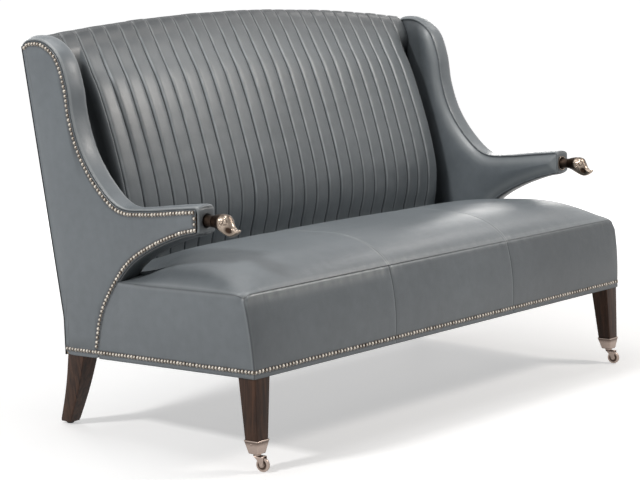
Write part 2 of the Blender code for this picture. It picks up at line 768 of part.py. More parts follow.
# Rear legs, raked back and cut level at the foot, on small glides
rear_foot_z = 0.0065
rear_leg_outer_x = frame_face_x
rear_leg_setback = 0.003
rear_leg_rear_y = base_depth - frame_back_inset - rear_leg_setback
rear_leg_steps = 4
knee_bow = 0.005
glide_radius = 0.010
glide_foot_share = 0.8
foot_y, foot_z = leaning(rear_foot_y, rear_foot_z)
foot_x = half_width - rear_foot_inset
top_x = rear_leg_outer_x - rear_leg_top_width / 2
top_y = rear_leg_rear_y - rear_leg_top_depth / 2
for word, side in sides:
    name = "rear_leg_" + word
    rings = []
    for k in range(rear_leg_steps + 1):
        rise = k / rear_leg_steps
        width = rear_leg_foot + (rear_leg_top_width - rear_leg_foot) * rise
        depth = rear_leg_foot + (rear_leg_top_depth - rear_leg_foot) * rise
        x = foot_x + (top_x - foot_x) * rise
        y = foot_y + (top_y - foot_y) * rise - knee_bow * math.sin(math.pi * rise)
        z = foot_z + (leg_top_z - foot_z) * rise
        ring = []
        for a, b in ((1, -1), (-1, -1), (-1, 1), (1, 1)):
            cut_rise = b * depth / 2 * math.tan(recline) * (1 - rise)
            ring.append((side * (x + a * width / 2), y + b * depth / 2, z + cut_rise))
        rings.append(ring)
    add_object(name, loft(name, rings), leg_wood)
    name = "rear_glide_" + word
    glide_top = rear_foot_z - seat_gap
    profile = [(glide_radius * glide_foot_share, 0), (glide_radius, glide_top / 3), (glide_radius, glide_top)]
    add_object(name, rod(name, profile, 20, "Z", (side * foot_x, rear_foot_y, 0)), glide_nylon, settee)


# Casters: the fork swivels in the cup's floor and trails the wheel
fork_plate = 0.002
fork_wheel_gap = 0.0008
axle_radius = 0.0025
fork_top_gap = 0.002
boss_radius = 0.010
cheek_width = 0.011
wheel_face_share = 0.55
wheel_shoulder_share = 0.92
wheel_shoulder_width_share = 0.72
swivel_y, cup_low_z = level(caster_y, cup_bottom_z)
boss_top_z = cup_low_z - boss_radius * math.sin(recline) - seat_gap
pin_top_z = level(caster_y, cup_floor_top_z)[1] - swivel_radius * math.sin(recline) - seat_gap
bridge_low_z = 2 * wheel_radius + fork_top_gap
bridge_top_z = bridge_low_z + fork_plate + fork_plate / 2
bridge_rear_share = 0.8
bridge_rear_x = -boss_radius * bridge_rear_share
cheek_in = wheel_width / 2 + fork_wheel_gap
cheek_out = cheek_in + fork_plate
for word, side in sides:
    swivel = bpy.data.objects.new("swivel_" + word, None)
    swivel.location = (side * caster_x, swivel_y, 0)
    swivel.rotation_euler = (0, 0, caster_trail_angle)
    swivel.parent = settee
    bpy.context.scene.collection.objects.link(swivel)

    name = "caster_fork_" + word
    bridge = box(name, (bridge_rear_x, -cheek_out, bridge_low_z),
                 (caster_trail + cheek_width / 2, cheek_out, bridge_top_z))
    cheeks = [box("cheek", (caster_trail - cheek_width / 2, min(a, b), wheel_radius - cheek_width / 2),
                  (caster_trail + cheek_width / 2, max(a, b), bridge_low_z + fork_plate / 2))
              for a, b in ((cheek_in, cheek_out), (-cheek_in, -cheek_out))]
    boss = rod("boss", [(boss_radius, bridge_low_z + fork_plate), (boss_radius, boss_top_z)], 20)
    pin = rod("pin", [(swivel_radius, bridge_low_z + fork_plate), (swivel_radius, pin_top_z)], 16)
    fork = cut(bridge, cheeks + [boss, pin], "UNION")
    axle_bore_radius = axle_radius + bore_slack
    axle_bore = rod("bore", [(axle_bore_radius, -2 * cheek_out), (axle_bore_radius, 2 * cheek_out)],
                    16, "Y", (caster_trail, 0, wheel_radius))
    add_object(name, cut(fork, [axle_bore]), cup_metal, swivel)

    name = "caster_axle_" + word
    axle_end = cheek_out + fork_plate / 4
    ends = [(axle_radius, -axle_end), (axle_radius, axle_end)]
    axle = add_object(name, rod(name, ends, 16, "Y"), cup_metal, swivel)
    axle.location = (caster_trail, 0, wheel_radius)

    name = "caster_wheel_" + word
    half_wheel = wheel_width / 2
    face_radius = wheel_radius * wheel_face_share
    shoulder_radius = wheel_radius * wheel_shoulder_share
    shoulder_out = half_wheel * wheel_shoulder_width_share
    profile = [(axle_bore_radius, -half_wheel), (face_radius, -half_wheel),
               (shoulder_radius, -shoulder_out), (wheel_radius, -half_wheel / 3),
               (wheel_radius, half_wheel / 3), (shoulder_radius, shoulder_out),
               (face_radius, half_wheel), (axle_bore_radius, half_wheel)]
    wheel = add_object(name, lathe(name, profile, 28, "Y"), cup_metal, swivel)
    wheel.location = (caster_trail, 0, wheel_radius)


# Dust cover under the seat, notched round the leg tops
dust_thickness = 0.0012
dust_edge = 0.004
notch = front_leg_top + dust_edge
rear_notch = rear_leg_top_depth + dust_edge
dust_x = frame_face_x - dust_edge
dust_front = rail_front_y + dust_edge
dust_rear = base_depth - frame_back_inset - dust_edge
plan = [(dust_x - notch, dust_front), (dust_x - notch, dust_front + notch), (dust_x, dust_front + notch),
        (dust_x, dust_rear - rear_notch), (dust_x - notch, dust_rear - rear_notch),
        (dust_x - notch, dust_rear)]
plan = plan + [(-x, y) for x, y in plan[::-1]]
dust_top = rail_underside_z - seat_gap
rings = [[(x, y, z) for x, y in plan] for z in (dust_top - dust_thickness, dust_top)]
add_object("dust_cover", loft("dust_cover", rings), cambric)


# Centre the whole on the world origin, from the wheels' front to the back of the crest roll
wheel_reach = (wheel_radius * abs(math.sin(caster_trail_angle))
               + wheel_width / 6 * abs(math.cos(caster_trail_angle)))
front_reach_y = swivel_y + caster_trail * math.sin(caster_trail_angle) - wheel_reach
rear_reach_y = level(back_plane_y(crest_top_z - channel_lip), crest_top_z - channel_lip)[0]
settee.location = (0, -(front_reach_y + rear_reach_y) / 2, 0)
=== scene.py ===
import math

import bmesh
import bpy
import numpy as np
from mathutils import Matrix, Vector


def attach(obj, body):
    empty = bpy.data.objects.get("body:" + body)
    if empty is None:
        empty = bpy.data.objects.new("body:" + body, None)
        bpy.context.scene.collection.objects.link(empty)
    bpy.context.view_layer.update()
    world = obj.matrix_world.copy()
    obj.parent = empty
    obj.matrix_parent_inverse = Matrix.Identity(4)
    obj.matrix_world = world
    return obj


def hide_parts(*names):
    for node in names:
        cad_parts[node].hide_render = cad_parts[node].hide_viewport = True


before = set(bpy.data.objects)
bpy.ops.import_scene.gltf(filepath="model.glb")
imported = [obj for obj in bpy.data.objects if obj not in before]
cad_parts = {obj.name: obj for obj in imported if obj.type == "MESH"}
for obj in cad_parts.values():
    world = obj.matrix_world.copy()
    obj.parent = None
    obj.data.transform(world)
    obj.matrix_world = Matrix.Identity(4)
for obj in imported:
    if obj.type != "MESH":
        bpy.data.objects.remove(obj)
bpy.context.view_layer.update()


# The studio: a pale floor that runs on into a pale background, a small bright lamp at the left, a wide one
# overhead, two at the right for the sheen on the seat and back, one at the right front and one behind. The
# camera looks up the settee's left front corner.
recline = math.radians(2.8)
frame_shift_y = -0.41114
camera_place, camera_lens, film_width = (-4.294, -3.521, 1.32), 112.33, 36
camera_azimuth, camera_elevation, camera_roll = math.radians(49.97), math.radians(9.1), math.radians(0.2)
# name, place, target, size, power in watts, tint
lamps = (("lamp_left", (-3.9, 0.50, 3.2), (0.0, 0.0, 0.45), (0.5, 0.5), 98, (1.0, 0.985, 0.97)),
         ("lamp_overhead", (-0.3, 0.35, 3.3), (0.0, 0.0, 0.5), (2.4, 1.6), 37, (1.0, 0.99, 0.98)),
         ("lamp_right_front", (2.2, -2.3, 3.15), (-0.5, 0.15, 0.8), (0.9, 1.0), 62, (1.0, 0.95, 0.90)),
         ("lamp_right", (3.6, 0.2, 3.3), (0.2, 0.0, 0.5), (0.7, 0.7), 9, (1.0, 0.97, 0.94)),
         ("lamp_right_low", (4.4, 2.3, 1.7), (0.45, -0.2, 0.45), (0.9, 1.1), 14, (1.0, 0.98, 0.95)),
         ("lamp_behind", (0.9, 4.2, 1.9), (0.0, 0.3, 0.6), (1.6, 1.2), 26, (1.0, 0.99, 0.98)))
floor_half = 30.0
white, pale_grey = (1, 1, 1, 1), (0.72, 0.72, 0.72, 1)
air_light, backdrop_light = 0.05, 1.0
floor_glow = {"From Min": 0.9, "From Max": 3.4, "To Min": 0.50, "To Max": 1.0}


def upright(points):
    """Body places, laid out from the base's front face and the floor, leaned back and put in the frame."""
    x, y, z = np.moveaxis(np.asarray(points, float), -1, 0)
    back = y * math.cos(recline) + z * math.sin(recline) + frame_shift_y
    return np.stack([x, back, z * math.cos(recline) - y * math.sin(recline)], -1)


def add(name, data):
    made = bpy.data.objects.new(name, data)
    bpy.context.scene.collection.objects.link(made)
    return made


def wire(tree, kind, settings=None, sockets=None):
    """A new node with its settings; a socket takes a plain value or another node's output."""
    made = tree.nodes.new(kind)
    for key, value in (settings or {}).items():
        setattr(made, key, value)
    for key, value in (sockets or {}).items():
        if isinstance(value, bpy.types.NodeSocket):
            tree.links.new(value, made.inputs[key])
        else:
            made.inputs[key].default_value = value
    return made


def number(tree, operation, first, second, third=None, clamp=False):
    """Output of a Math node."""
    sockets = {0: first, 1: second} if third is None else {0: first, 1: second, 2: third}
    return wire(tree, "ShaderNodeMath", {"operation": operation, "use_clamp": clamp}, sockets).outputs[0]


def seen_rays(tree):
    """One for camera, glossy and transmission rays, and nothing for the rays that light the settee."""
    path = wire(tree, "ShaderNodeLightPath").outputs
    mirror = number(tree, "MAXIMUM", path["Is Glossy Ray"], path["Is Transmission Ray"])
    return number(tree, "MAXIMUM", path["Is Camera Ray"], mirror)


def look(camera, place, azimuth, elevation, roll):
    """Stands a camera at a place, facing azimuth from +Y towards +X, down by elevation, turned by roll."""
    ahead = np.array([math.sin(azimuth) * math.cos(elevation), math.cos(azimuth) * math.cos(elevation),
                      -math.sin(elevation)])
    right = np.array([math.cos(azimuth), -math.sin(azimuth), 0])
    up = np.cross(right, ahead)
    turned_right = math.cos(roll) * right + math.sin(roll) * up
    turned_up = math.cos(roll) * up - math.sin(roll) * right
    turn = Matrix(np.stack([turned_right, turned_up, -ahead], 1).tolist()).to_4x4()
    camera.matrix_world = Matrix.Translation(place) @ turn


camera = add("camera", bpy.data.cameras.new("camera"))
camera.data.sensor_width = film_width
camera.data.lens = camera_lens
look(camera, camera_place, camera_azimuth, camera_elevation, camera_roll)
bpy.context.scene.camera = camera
bpy.context.scene.view_settings.view_transform = "Standard"

for name, place, target, size, power, tint in lamps:
    lamp = add(name, bpy.data.lights.new(name, "AREA"))
    lamp.data.shape = "RECTANGLE"
    lamp.data.size, lamp.data.size_y = size
    lamp.data.energy = power
    lamp.data.color = tint
    away = np.array(place) - np.array(target)
    lamp.location = place
    lamp.rotation_euler = (math.atan2(math.hypot(away[0], away[1]), away[2]), 0,
                           math.atan2(away[0], -away[1]))

world = bpy.data.worlds.new("studio")
bpy.context.scene.world = world
world.use_nodes = True
tree = world.node_tree
tree.nodes.clear()
seen = seen_rays(tree)
air = wire(tree, "ShaderNodeBackground", None, {"Color": white, "Strength": air_light})
backdrop = wire(tree, "ShaderNodeBackground", None, {"Color": white, "Strength": backdrop_light})
either = wire(tree, "ShaderNodeMixShader", None, {0: seen, 1: air.outputs[0], 2: backdrop.outputs[0]})
wire(tree, "ShaderNodeOutputWorld", None, {"Surface": either.outputs[0]})

floor_mesh = bpy.data.meshes.new("floor")
floor_mesh.from_pydata([(-floor_half, -floor_half, 0), (floor_half, -floor_half, 0),
                        (floor_half, floor_half, 0), (-floor_half, floor_half, 0)], [], [(0, 1, 2, 3)])
floor = add("floor", floor_mesh)
paint = bpy.data.materials.new("pale_floor")
paint.use_nodes = True
tree = paint.node_tree
tree.nodes.clear()
seen = seen_rays(tree)
ground = wire(tree, "ShaderNodeTexCoord")
away = wire(tree, "ShaderNodeVectorMath", {"operation": "LENGTH"}, {0: ground.outputs["Object"]})
brighter = wire(tree, "ShaderNodeMapRange", {"interpolation_type": "SMOOTHSTEP"},
                {"Value": away.outputs["Value"], **floor_glow})
lift = number(tree, "MULTIPLY", seen, brighter.outputs["Result"])
matt = wire(tree, "ShaderNodeBsdfDiffuse", None, {"Color": pale_grey})
glow = wire(tree, "ShaderNodeEmission", None, {"Color": white, "Strength": lift})
both = wire(tree, "ShaderNodeAddShader", None, {0: matt.outputs[0], 1: glow.outputs[0]})
wire(tree, "ShaderNodeOutputMaterial", None, {"Surface": both.outputs[0]})
floor_mesh.materials.append(paint)


# The seat's leather, the same blue-grey semi-aniline hide that covers arms, wings and the outside: fine
# pebble grain, cloudy tone from the hand dyeing, painted shade in the seams and painted highlights, with a
# little wear, on their lips.
cells_per_metre, clouds_per_metre = 760, 2.6
wander_scale, wander_reach, pebble_reach, pore_scale, pore_share = 210, 0.0022, 0.28, 1900, 0.35
cloud_detail, cloud_rough, mottle_scale, mottle_share = 5, 0.55, 34, 0.35
dye_low, dye_high = 0.36, 0.64
gloss_range = {"From Min": 0.3, "From Max": 0.7, "To Min": 0.33, "To Max": 0.42}
slack_scale, slack_height, slack_strength = 11, 0.004, 0.5
grain_height, grain_strength = 0.00022, 0.30
hide_coat, hide_coat_rough = 0.12, 0.22


def new_group(name, inputs, outputs):
    """An empty shader node group with float inputs (name, default) and named outputs."""
    group = bpy.data.node_groups.new(name, "ShaderNodeTree")
    for label, value in inputs:
        socket = group.interface.new_socket(name=label, in_out="INPUT", socket_type="NodeSocketFloat")
        socket.default_value = value
    for label, kind in outputs:
        group.interface.new_socket(name=label, in_out="OUTPUT", socket_type=kind)
    return group, group.nodes.new("NodeGroupInput"), group.nodes.new("NodeGroupOutput")


def object_place(tree):
    return wire(tree, "ShaderNodeTexCoord").outputs["Object"]


def noise(tree, vector, scale, detail, **more):
    sockets = {"Vector": vector, "Scale": scale, "Detail": detail, **more}
    return wire(tree, "ShaderNodeTexNoise", None, sockets)


def ranged(tree, value, **sockets):
    """Output of a Map Range node; its sockets are named with a line for each blank."""
    named = {key.replace("_", " "): limit for key, limit in sockets.items()}
    return wire(tree, "ShaderNodeMapRange", None, {"Value": value, **named}).outputs["Result"]


def blend(tree, factor, first, second, kind="RGBA"):
    """Output of a Mix node for colours, or for floats with kind FLOAT."""
    if kind == "RGBA":
        first, second = (c if isinstance(c, bpy.types.NodeSocket) else (*c[:3], 1) for c in (first, second))
    return wire(tree, "ShaderNodeMix", {"data_type": kind},
                {"Factor": factor, "A": first, "B": second}).outputs["Result"]


def bumped(tree, height, strength, distance, **more):
    return wire(tree, "ShaderNodeBump", None,
                {"Height": height, **more, "Strength": strength, "Distance": distance}).outputs["Normal"]


grain_group, given, result = new_group(
    "leather_grain", [("Cells per metre", cells_per_metre), ("Clouds per metre", clouds_per_metre)],
    [("Height", "NodeSocketFloat"), ("Tone", "NodeSocketFloat")])
place = object_place(grain_group)
wander = noise(grain_group, place, wander_scale, 2)
shove = wire(grain_group, "ShaderNodeVectorMath", {"operation": "SCALE"},
             {0: wander.outputs["Color"], "Scale": wander_reach})
bent = wire(grain_group, "ShaderNodeVectorMath", {"operation": "ADD"}, {0: place, 1: shove.outputs[0]})
cells = wire(grain_group, "ShaderNodeTexVoronoi", {"feature": "DISTANCE_TO_EDGE"},
             {"Vector": bent.outputs[0], "Scale": given.outputs["Cells per metre"]})
pebble = wire(grain_group, "ShaderNodeMapRange", {"interpolation_type": "SMOOTHSTEP"},
              {"Value": cells.outputs["Distance"], "From Max": pebble_reach})
pores = noise(grain_group, place, pore_scale, 3)
grain = blend(grain_group, pore_share, pebble.outputs["Result"], pores.outputs["Fac"], "FLOAT")
cloud = noise(grain_group, place, given.outputs["Clouds per metre"], cloud_detail, Roughness=cloud_rough)
mottle = noise(grain_group, place, mottle_scale, 4)
tone = blend(grain_group, mottle_share, cloud.outputs["Fac"], mottle.outputs["Fac"], "FLOAT")
grain_group.links.new(grain, result.inputs["Height"])
grain_group.links.new(tone, result.inputs["Tone"])


def new_material(name):
    made = bpy.data.materials.new(name)
    made.use_nodes = True
    return made, made.node_tree, made.node_tree.nodes["Principled BSDF"]


def finish_shader(tree, shader, **sockets):
    """Wires outputs and sets values of the Principled BSDF, its sockets named with a line for each blank."""
    for key, value in sockets.items():
        socket = shader.inputs[key.replace("_", " ")]
        if isinstance(value, bpy.types.NodeSocket):
            tree.links.new(value, socket)
        else:
            socket.default_value = value


def hide_leather(name, dark, light, shade_tone, highlight_tone):
    """Dyed leather: two tones by the cloud mask, darkened by painted shade in seams, creases and gaps,
    and lightened by painted highlights, with a little wear, on lips and ridges.
    """
    made, tree, shader = new_material(name)
    skin = wire(tree, "ShaderNodeGroup", {"node_tree": grain_group})
    spread = ranged(tree, skin.outputs["Tone"], From_Min=dye_low, From_Max=dye_high)
    dyed = blend(tree, spread, dark, light)
    # two point attributes: one paints shade towards the dark tone, the other paints highlights, with a little
    # wear, towards the light tone
    darkening = wire(tree, "ShaderNodeAttribute", {"attribute_name": "darkening"})
    wear_and_highlight = wire(tree, "ShaderNodeAttribute", {"attribute_name": "wear_and_highlight"})
    worn = blend(tree, wear_and_highlight.outputs["Fac"], dyed, highlight_tone)
    sunk = blend(tree, darkening.outputs["Fac"], worn, shade_tone)
    gloss = wire(tree, "ShaderNodeMapRange", None, {"Value": skin.outputs["Tone"], **gloss_range})
    waves = noise(tree, object_place(tree), slack_scale, 3)
    slack = bumped(tree, waves.outputs["Fac"], slack_strength, slack_height)
    bump = bumped(tree, skin.outputs["Height"], grain_strength, grain_height, Normal=slack)
    finish_shader(tree, shader, Base_Color=sunk, Roughness=gloss.outputs["Result"], Normal=bump,
                  Coat_Weight=hide_coat, Coat_Roughness=hide_coat_rough)
    return made


hide_dark, hide_light = (0.136, 0.156, 0.172), (0.173, 0.196, 0.214)
# tones of the painted shade and of the painted highlights, the latter with a little wear
hide_shade_tone, hide_highlight_tone = (0.026, 0.030, 0.033), (0.345, 0.370, 0.380)
blue_grey = hide_leather("blue_grey_leather", hide_dark, hide_light, hide_shade_tone, hide_highlight_tone)


def grid_faces(rows, columns, first, wrap_rows, wrap_columns):
    """Quads between neighbouring points of a grid of rows and columns, numbered from first."""
    row, column = np.meshgrid(np.arange(rows if wrap_rows else rows - 1),
                              np.arange(columns if wrap_columns else columns - 1), indexing="ij")
    next_row, next_column = (row + 1) % rows, (column + 1) % columns
    corners = [row * columns + column, row * columns + next_column,
               next_row * columns + next_column, next_row * columns + column]
    return (first + np.stack(corners, -1).reshape(-1, 4)).tolist()


def mark_layer(mesh, name, values):
    """Float values on a mesh's points, for a material to read."""
    layer = mesh.attributes.new(name, "FLOAT", "POINT")
    layer.data.foreach_set("value", np.clip(values, 0, 1).astype(np.float32).ravel())


def clean(mesh, weld=0, facing=None):
    """Welds points closer than weld and turns the faces outwards, or the way an open mesh is to face."""
    form = bmesh.new()
    form.from_mesh(mesh)
    if weld:
        bmesh.ops.remove_doubles(form, verts=form.verts, dist=weld)
        bmesh.ops.dissolve_degenerate(form, edges=form.edges, dist=weld / 4)
    bmesh.ops.recalc_face_normals(form, faces=form.faces)
    if facing is not None:
        total = sum((f.normal * f.calc_area() for f in form.faces), start=Vector())
        if total.dot(Vector(facing)) < 0:
            bmesh.ops.reverse_faces(form, faces=form.faces)
    for f in form.faces:
        f.smooth = True
    form.to_mesh(mesh)
    form.free()


weld_reach = 0.00002


def mesh_of(name, patches, facing=None, weld=weld_reach, split=None, darkening_name="darkening"):
    """One mesh from point grids welded along their common edges.

    A patch is a dict: grid (rows, columns, 3), wrap (rows, columns), caps (faces that close the first and
    last row or column), and grids of values for painted shade (patina and painted light on metal) and for
    painted highlights with a little wear. Open meshes say which way they face.
    """
    points, faces, marks = [], [], {"darkening": [], "wear_and_highlight": []}
    for patch in patches:
        grid = np.asarray(patch["grid"], float)
        rows, columns = grid.shape[:2]
        first = sum(len(p) for p in points)
        faces += grid_faces(rows, columns, first, *patch.get("wrap", (False, False)))
        if patch.get("caps") == "rows":
            faces += [list(range(first, first + columns)),
                      list(range(first + (rows - 1) * columns, first + rows * columns))]
        if patch.get("caps") == "columns":
            faces += [list(range(first, first + rows * columns, columns)),
                      list(range(first + columns - 1, first + rows * columns, columns))]
        points.append(grid.reshape(-1, 3))
        for key, values in marks.items():
            values.append(np.broadcast_to(patch.get(key, 0), (rows, columns)).ravel())
    mesh = bpy.data.meshes.new(name)
    mesh.from_pydata(np.concatenate(points).tolist(), [], faces)
    for key, values in marks.items():
        joined = np.concatenate(values)
        if joined.any():
            mark_layer(mesh, darkening_name if key == "darkening" else key, joined)
    clean(mesh, weld, facing)
    if split:
        mesh.set_sharp_from_angle(angle=math.radians(split))
    return mesh


def piece(name, mesh, material, nodes, body="settee"):
    """Puts a mesh in the scene as a piece of the settee that stands for the CAD nodes."""
    made = add(name, mesh)
    mesh.materials.append(material)
    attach(made, body)
    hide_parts(*nodes)
    return made


def give_wall(made, thickness):
    """Turns an open skin into a closed wall, inwards from its face."""
    wall = made.modifiers.new("wall", "SOLIDIFY")
    wall.thickness = thickness
    wall.offset = -1


# The arm and wing outline: a smooth run from the shoulder down the wing and out along the arm to its
# square front, and back under the arm to the base. The seat, pads, panels and nails all follow it.
half_width = 0.82
base_depth = 0.666
shoulder_z = 1.046
base_underside_z = 0.2325
lean_start_z = 0.330
back_lean_depth = 0.112
frame_back_inset = 0.0043
arm_front_y = 0.171
# places as shares of the base's depth and of the height from its underside to the shoulder
wing_top_shares = np.array([(1.119, 1.0), (1.036, 0.994), (0.961, 0.947), (0.920, 0.857), (0.901, 0.753),
                            (0.853, 0.644), (0.764, 0.546), (0.661, 0.483), (0.526, 0.478),
                            (0.363, 0.489)])
underside_shares = np.array([(0.342, 0.409), (0.480, 0.369), (0.604, 0.315), (0.689, 0.2465),
                             (0.769, 0.148), (0.805, 0.045), (0.806, 0.0)])
arm_front_shares = np.array([0.496, 0.4235])
shoulder_corner_drop = 0.012
wing_count, arm_count, front_count, span_steps = 96, 92, 11, 16
elbow_y = 0.50
edge_steps = np.array([0, 0.0008, 0.002, 0.004, 0.0065, 0.0095, 0.013, 0.0175, 0.024])
middle_steps = np.linspace(0, 1, 14)[1:-1]
rim_blur, full_reach = 3, 0.062
tiny, far_off = 1e-9, 9.0


def back_plane_y(z):
    return base_depth + back_lean_depth * np.maximum(0, z - lean_start_z) / (shoulder_z - lean_start_z)


def curve_through(points, steps):
    """Catmull-Rom curve through the points, steps places for each span, ends included."""
    points = np.asarray(points, float)
    run = np.concatenate([2 * points[:1] - points[1:2], points, 2 * points[-1:] - points[-2:-1]])
    a, b, c, d = (run[k:len(run) - 3 + k, None] for k in range(4))
    t = (np.arange(steps) / steps)[None, :, None]
    spans = (2 * b + (c - a) * t + (2 * a - 5 * b + 4 * c - d) * t ** 2
             + (3 * b - a - 3 * c + d) * t ** 3) / 2
    return np.concatenate([spans.reshape(-1, points.shape[1]), points[-1:]])


def lengths_along(line):
    return np.concatenate([[0], np.cumsum(np.linalg.norm(np.diff(line, axis=0), axis=1))])


def spaced(line, count):
    """The same line with count places at equal steps of its length."""
    run = lengths_along(line)
    at = np.linspace(0, run[-1], count)
    return np.stack([np.interp(at, run, line[:, k]) for k in range(line.shape[1])], 1)


def side_places(shares):
    size = np.array([base_depth, shoulder_z - base_underside_z])
    return np.array([0, base_underside_z]) + shares * size


corner_z = shoulder_z - shoulder_corner_drop
shoulder_corner = np.array([[back_plane_y(corner_z) - frame_back_inset, corner_z]])
front_top, front_low = [np.array([[arm_front_y, side_places(np.array([0, s]))[1]]]) for s in arm_front_shares]
top_places = np.concatenate([shoulder_corner, side_places(wing_top_shares), front_top])
top_line = curve_through(top_places, span_steps)
under_line = curve_through(np.concatenate([front_low, side_places(underside_shares)]), span_steps)


def arm_region(floor_z):
    """The side shape above a height: grid (along, across) of (y, z), from the wing and arm top to the
    back and underside, with its rim softened and its lines packed near the edges."""
    elbow = np.argmin(np.abs(top_line[:, 0] - elbow_y))
    top = np.concatenate([spaced(top_line[:elbow + 1], wing_count), spaced(top_line[elbow:], arm_count)[1:]])
    under = under_line[under_line[:, 1] >= floor_z - tiny]
    foot = np.array([[np.interp(-floor_z, -under_line[:, 1], under_line[:, 0]), floor_z]])
    back_heights = np.array([lean_start_z, floor_z]) if floor_z < lean_start_z else np.array([floor_z])
    back = np.stack([back_plane_y(back_heights) - frame_back_inset, back_heights], 1)
    rear = spaced(np.concatenate([shoulder_corner, back, foot]), wing_count)
    low = np.concatenate([rear, spaced(np.concatenate([foot, under[::-1]]), arm_count)[1:]])
    front = top[-1] + np.linspace(0, 1, front_count)[:, None] * (low[-1] - top[-1])
    rim = np.concatenate([top, front[1:-1], low[::-1][:-1]])
    for _ in range(rim_blur):
        rim = (np.roll(rim, 1, 0) + 2 * rim + np.roll(rim, -1, 0)) / 4
    count = len(top)
    top, front = rim[:count], rim[count - 1:count - 1 + front_count]
    low = np.concatenate([rim[:1], rim[count - 2 + front_count:][::-1]])
    reach = np.linalg.norm(low - top, axis=1)[:, None]
    near = edge_steps[None] * np.minimum(1, reach / full_reach) / np.maximum(reach, tiny)
    inner = near[:, -1:] + (1 - 2 * near[:, -1:]) * middle_steps[None]
    shares = np.concatenate([near, inner, 1 - near[:, ::-1]], 1)
    grid = top[:, None] + shares[..., None] * (low - top)[:, None]
    return grid, rim, front


def distance_to(line, places):
    """Shortest distance from each place to a line given by its points."""
    flat = places.reshape(-1, 2)
    gap = np.full(len(flat), far_off)
    for start, end in zip(line, np.roll(line, -1, 0)):
        span = end - start
        t = np.clip(((flat - start) @ span) / max(span @ span, tiny ** 2), 0, 1)
        gap = np.minimum(gap, np.linalg.norm(flat - start - t[:, None] * span, axis=1))
    return gap.reshape(places.shape[:-1])


# Seat: leather in three top panels, three front panels and two ends, sewn round the top edge and up the
# corners, pulled down over a crowned foam block and nailed along the base. Puckers show at the seams.
seat_edge_z = 0.437
rail_top_z = 0.335
seat_front_slope = 0.018
seat_rear_y = 0.5897
seat_depth = 0.572
skin_gap = 0.0004
seat_side_x = half_width - skin_gap
arm_inner_x = 0.7547
seam_x = 0.267
base_nail_z = 0.2490
# strength and reach of the painted shade along the nail lines
nail_row_shade, nail_row_shade_reach = 0.88, 0.0071
crown_height, crown_arch, side_ease = 0.079, 0.14, 0.050
tuck_v, tuck_reach = 0.74, 0.095
seat_flare, flare_start_z, flare_reach, flare_corner = 0.0105, 0.258, 0.12, 0.035
corner_round, corner_drop, corner_in, corner_back, corner_down = 0.0135, 0.034, 0.0075, 0.0050, 0.0085
station_step, closest_step = 0.010, 0.0004
near_seam = (0.0007, 0.0016, 0.003, 0.005, 0.008)
edge_gap = np.array([0, 0.0008, 0.002, 0.004, 0.007, 0.011, 0.016, 0.022, 0.029])
nail_rows = base_nail_z + np.array([-0.0090, -0.0066, -0.0050, -0.0025, 0, 0.0025, 0.0050, 0.0066, 0.0090])
front_low_z, front_high_z, front_steps = 0.268, seat_edge_z - 0.036, 13
pucker_reach = (0.021, 0.034, 0.055, 0.013)
slack_reach, slack_rise, slack_end = (0.31, 0.19, 0.47), 0.0012, 0.05
dice = np.random.default_rng(7)
# grooves along the seams, the edge and the corners: depth, reach
seam_dip, edge_dip, corner_dip = (0.0013, 0.0016), (0.0022, 0.0014), (0.0016, 0.0020)


def fade(gap, reach):
    return np.exp(-gap / reach)


def bell(offset, reach, power=2):
    return np.exp(-(offset / reach) ** power)


def ramp(value, start, span):
    """From 0 at the start to 1 a span further on; a span below zero runs the other way."""
    return np.clip((value - start) / span, 0, 1)


def smooth(t):
    return t * t * (3 - 2 * t)


def dip(gap, depth, reach):
    return depth * fade(np.abs(gap), reach)


def soft_lines(rows):
    """Painted highlights in lines beside seams and edges: rows of (distance, place, reach, strength)."""
    return [strength * bell(gap - place, reach) for gap, place, reach, strength in rows]


def dark_lines(rows):
    """Painted shade that is darkest on a seam or edge: rows of (distance, reach, strength)."""
    return [strength * fade(gap, reach) for gap, reach, strength in rows]


# painted shade along a line of nails and in the gaps between their heads
def nail_line_shade(offset):
    return nail_row_shade * bell(offset, nail_row_shade_reach, 4)


def crown(u, v):
    """Rise of the seat's top: a full swell that falls steeply at the ends and more gently front to back,
    plus a slight hump over the whole width, and drawn down by the tuck under each arm. u runs across
    from -1 to 1, v from front to back."""
    to_tuck = np.hypot(np.maximum(0, arm_inner_x - np.abs(u) * seat_side_x), (v - tuck_v) * seat_depth)
    drawn = 1 - 0.72 * bell(to_tuck, tuck_reach)
    depth_swell = np.maximum(0, 1 - np.abs(2 * v ** 0.83 - 1) ** 2.7) ** 1.07
    side_swell = 1 - np.exp(-(1 - np.abs(u)) * seat_side_x / side_ease)
    return crown_height * (crown_arch * (1 - u * u) + (1 - crown_arch) * side_swell) * depth_swell * drawn


def flare(climb, to_arm):
    """How far the seat's ends lean outwards, by the climb from the base and the distance to the arm."""
    return seat_flare * np.clip(climb, 0, 1) ** 0.85 * smooth(ramp(to_arm, 0, flare_reach))


def flared(x, climb, to_arm, from_corner):
    return x + np.sign(x) * flare(climb, to_arm) * fade(from_corner, flare_corner)


def round_corners(places):
    """Rolls the seat's two front corners over, near the top edge."""
    x, y, z = np.moveaxis(places, -1, 0)
    gap = np.hypot(np.abs(x) - seat_side_x - seat_flare, y - seat_front_slope)
    near = bell(gap, corner_round) * ramp(z, seat_edge_z - corner_drop, corner_drop) ** 1.4
    return np.stack([x - np.sign(x) * corner_in * near, y + corner_back * near, z - corner_down * near], -1)


def seat_patch(x, y, z, darkening, wear_and_highlight):
    return {"grid": upright(round_corners(np.stack([x, y, z], -1))), "darkening": darkening, "wear_and_highlight": wear_and_highlight}


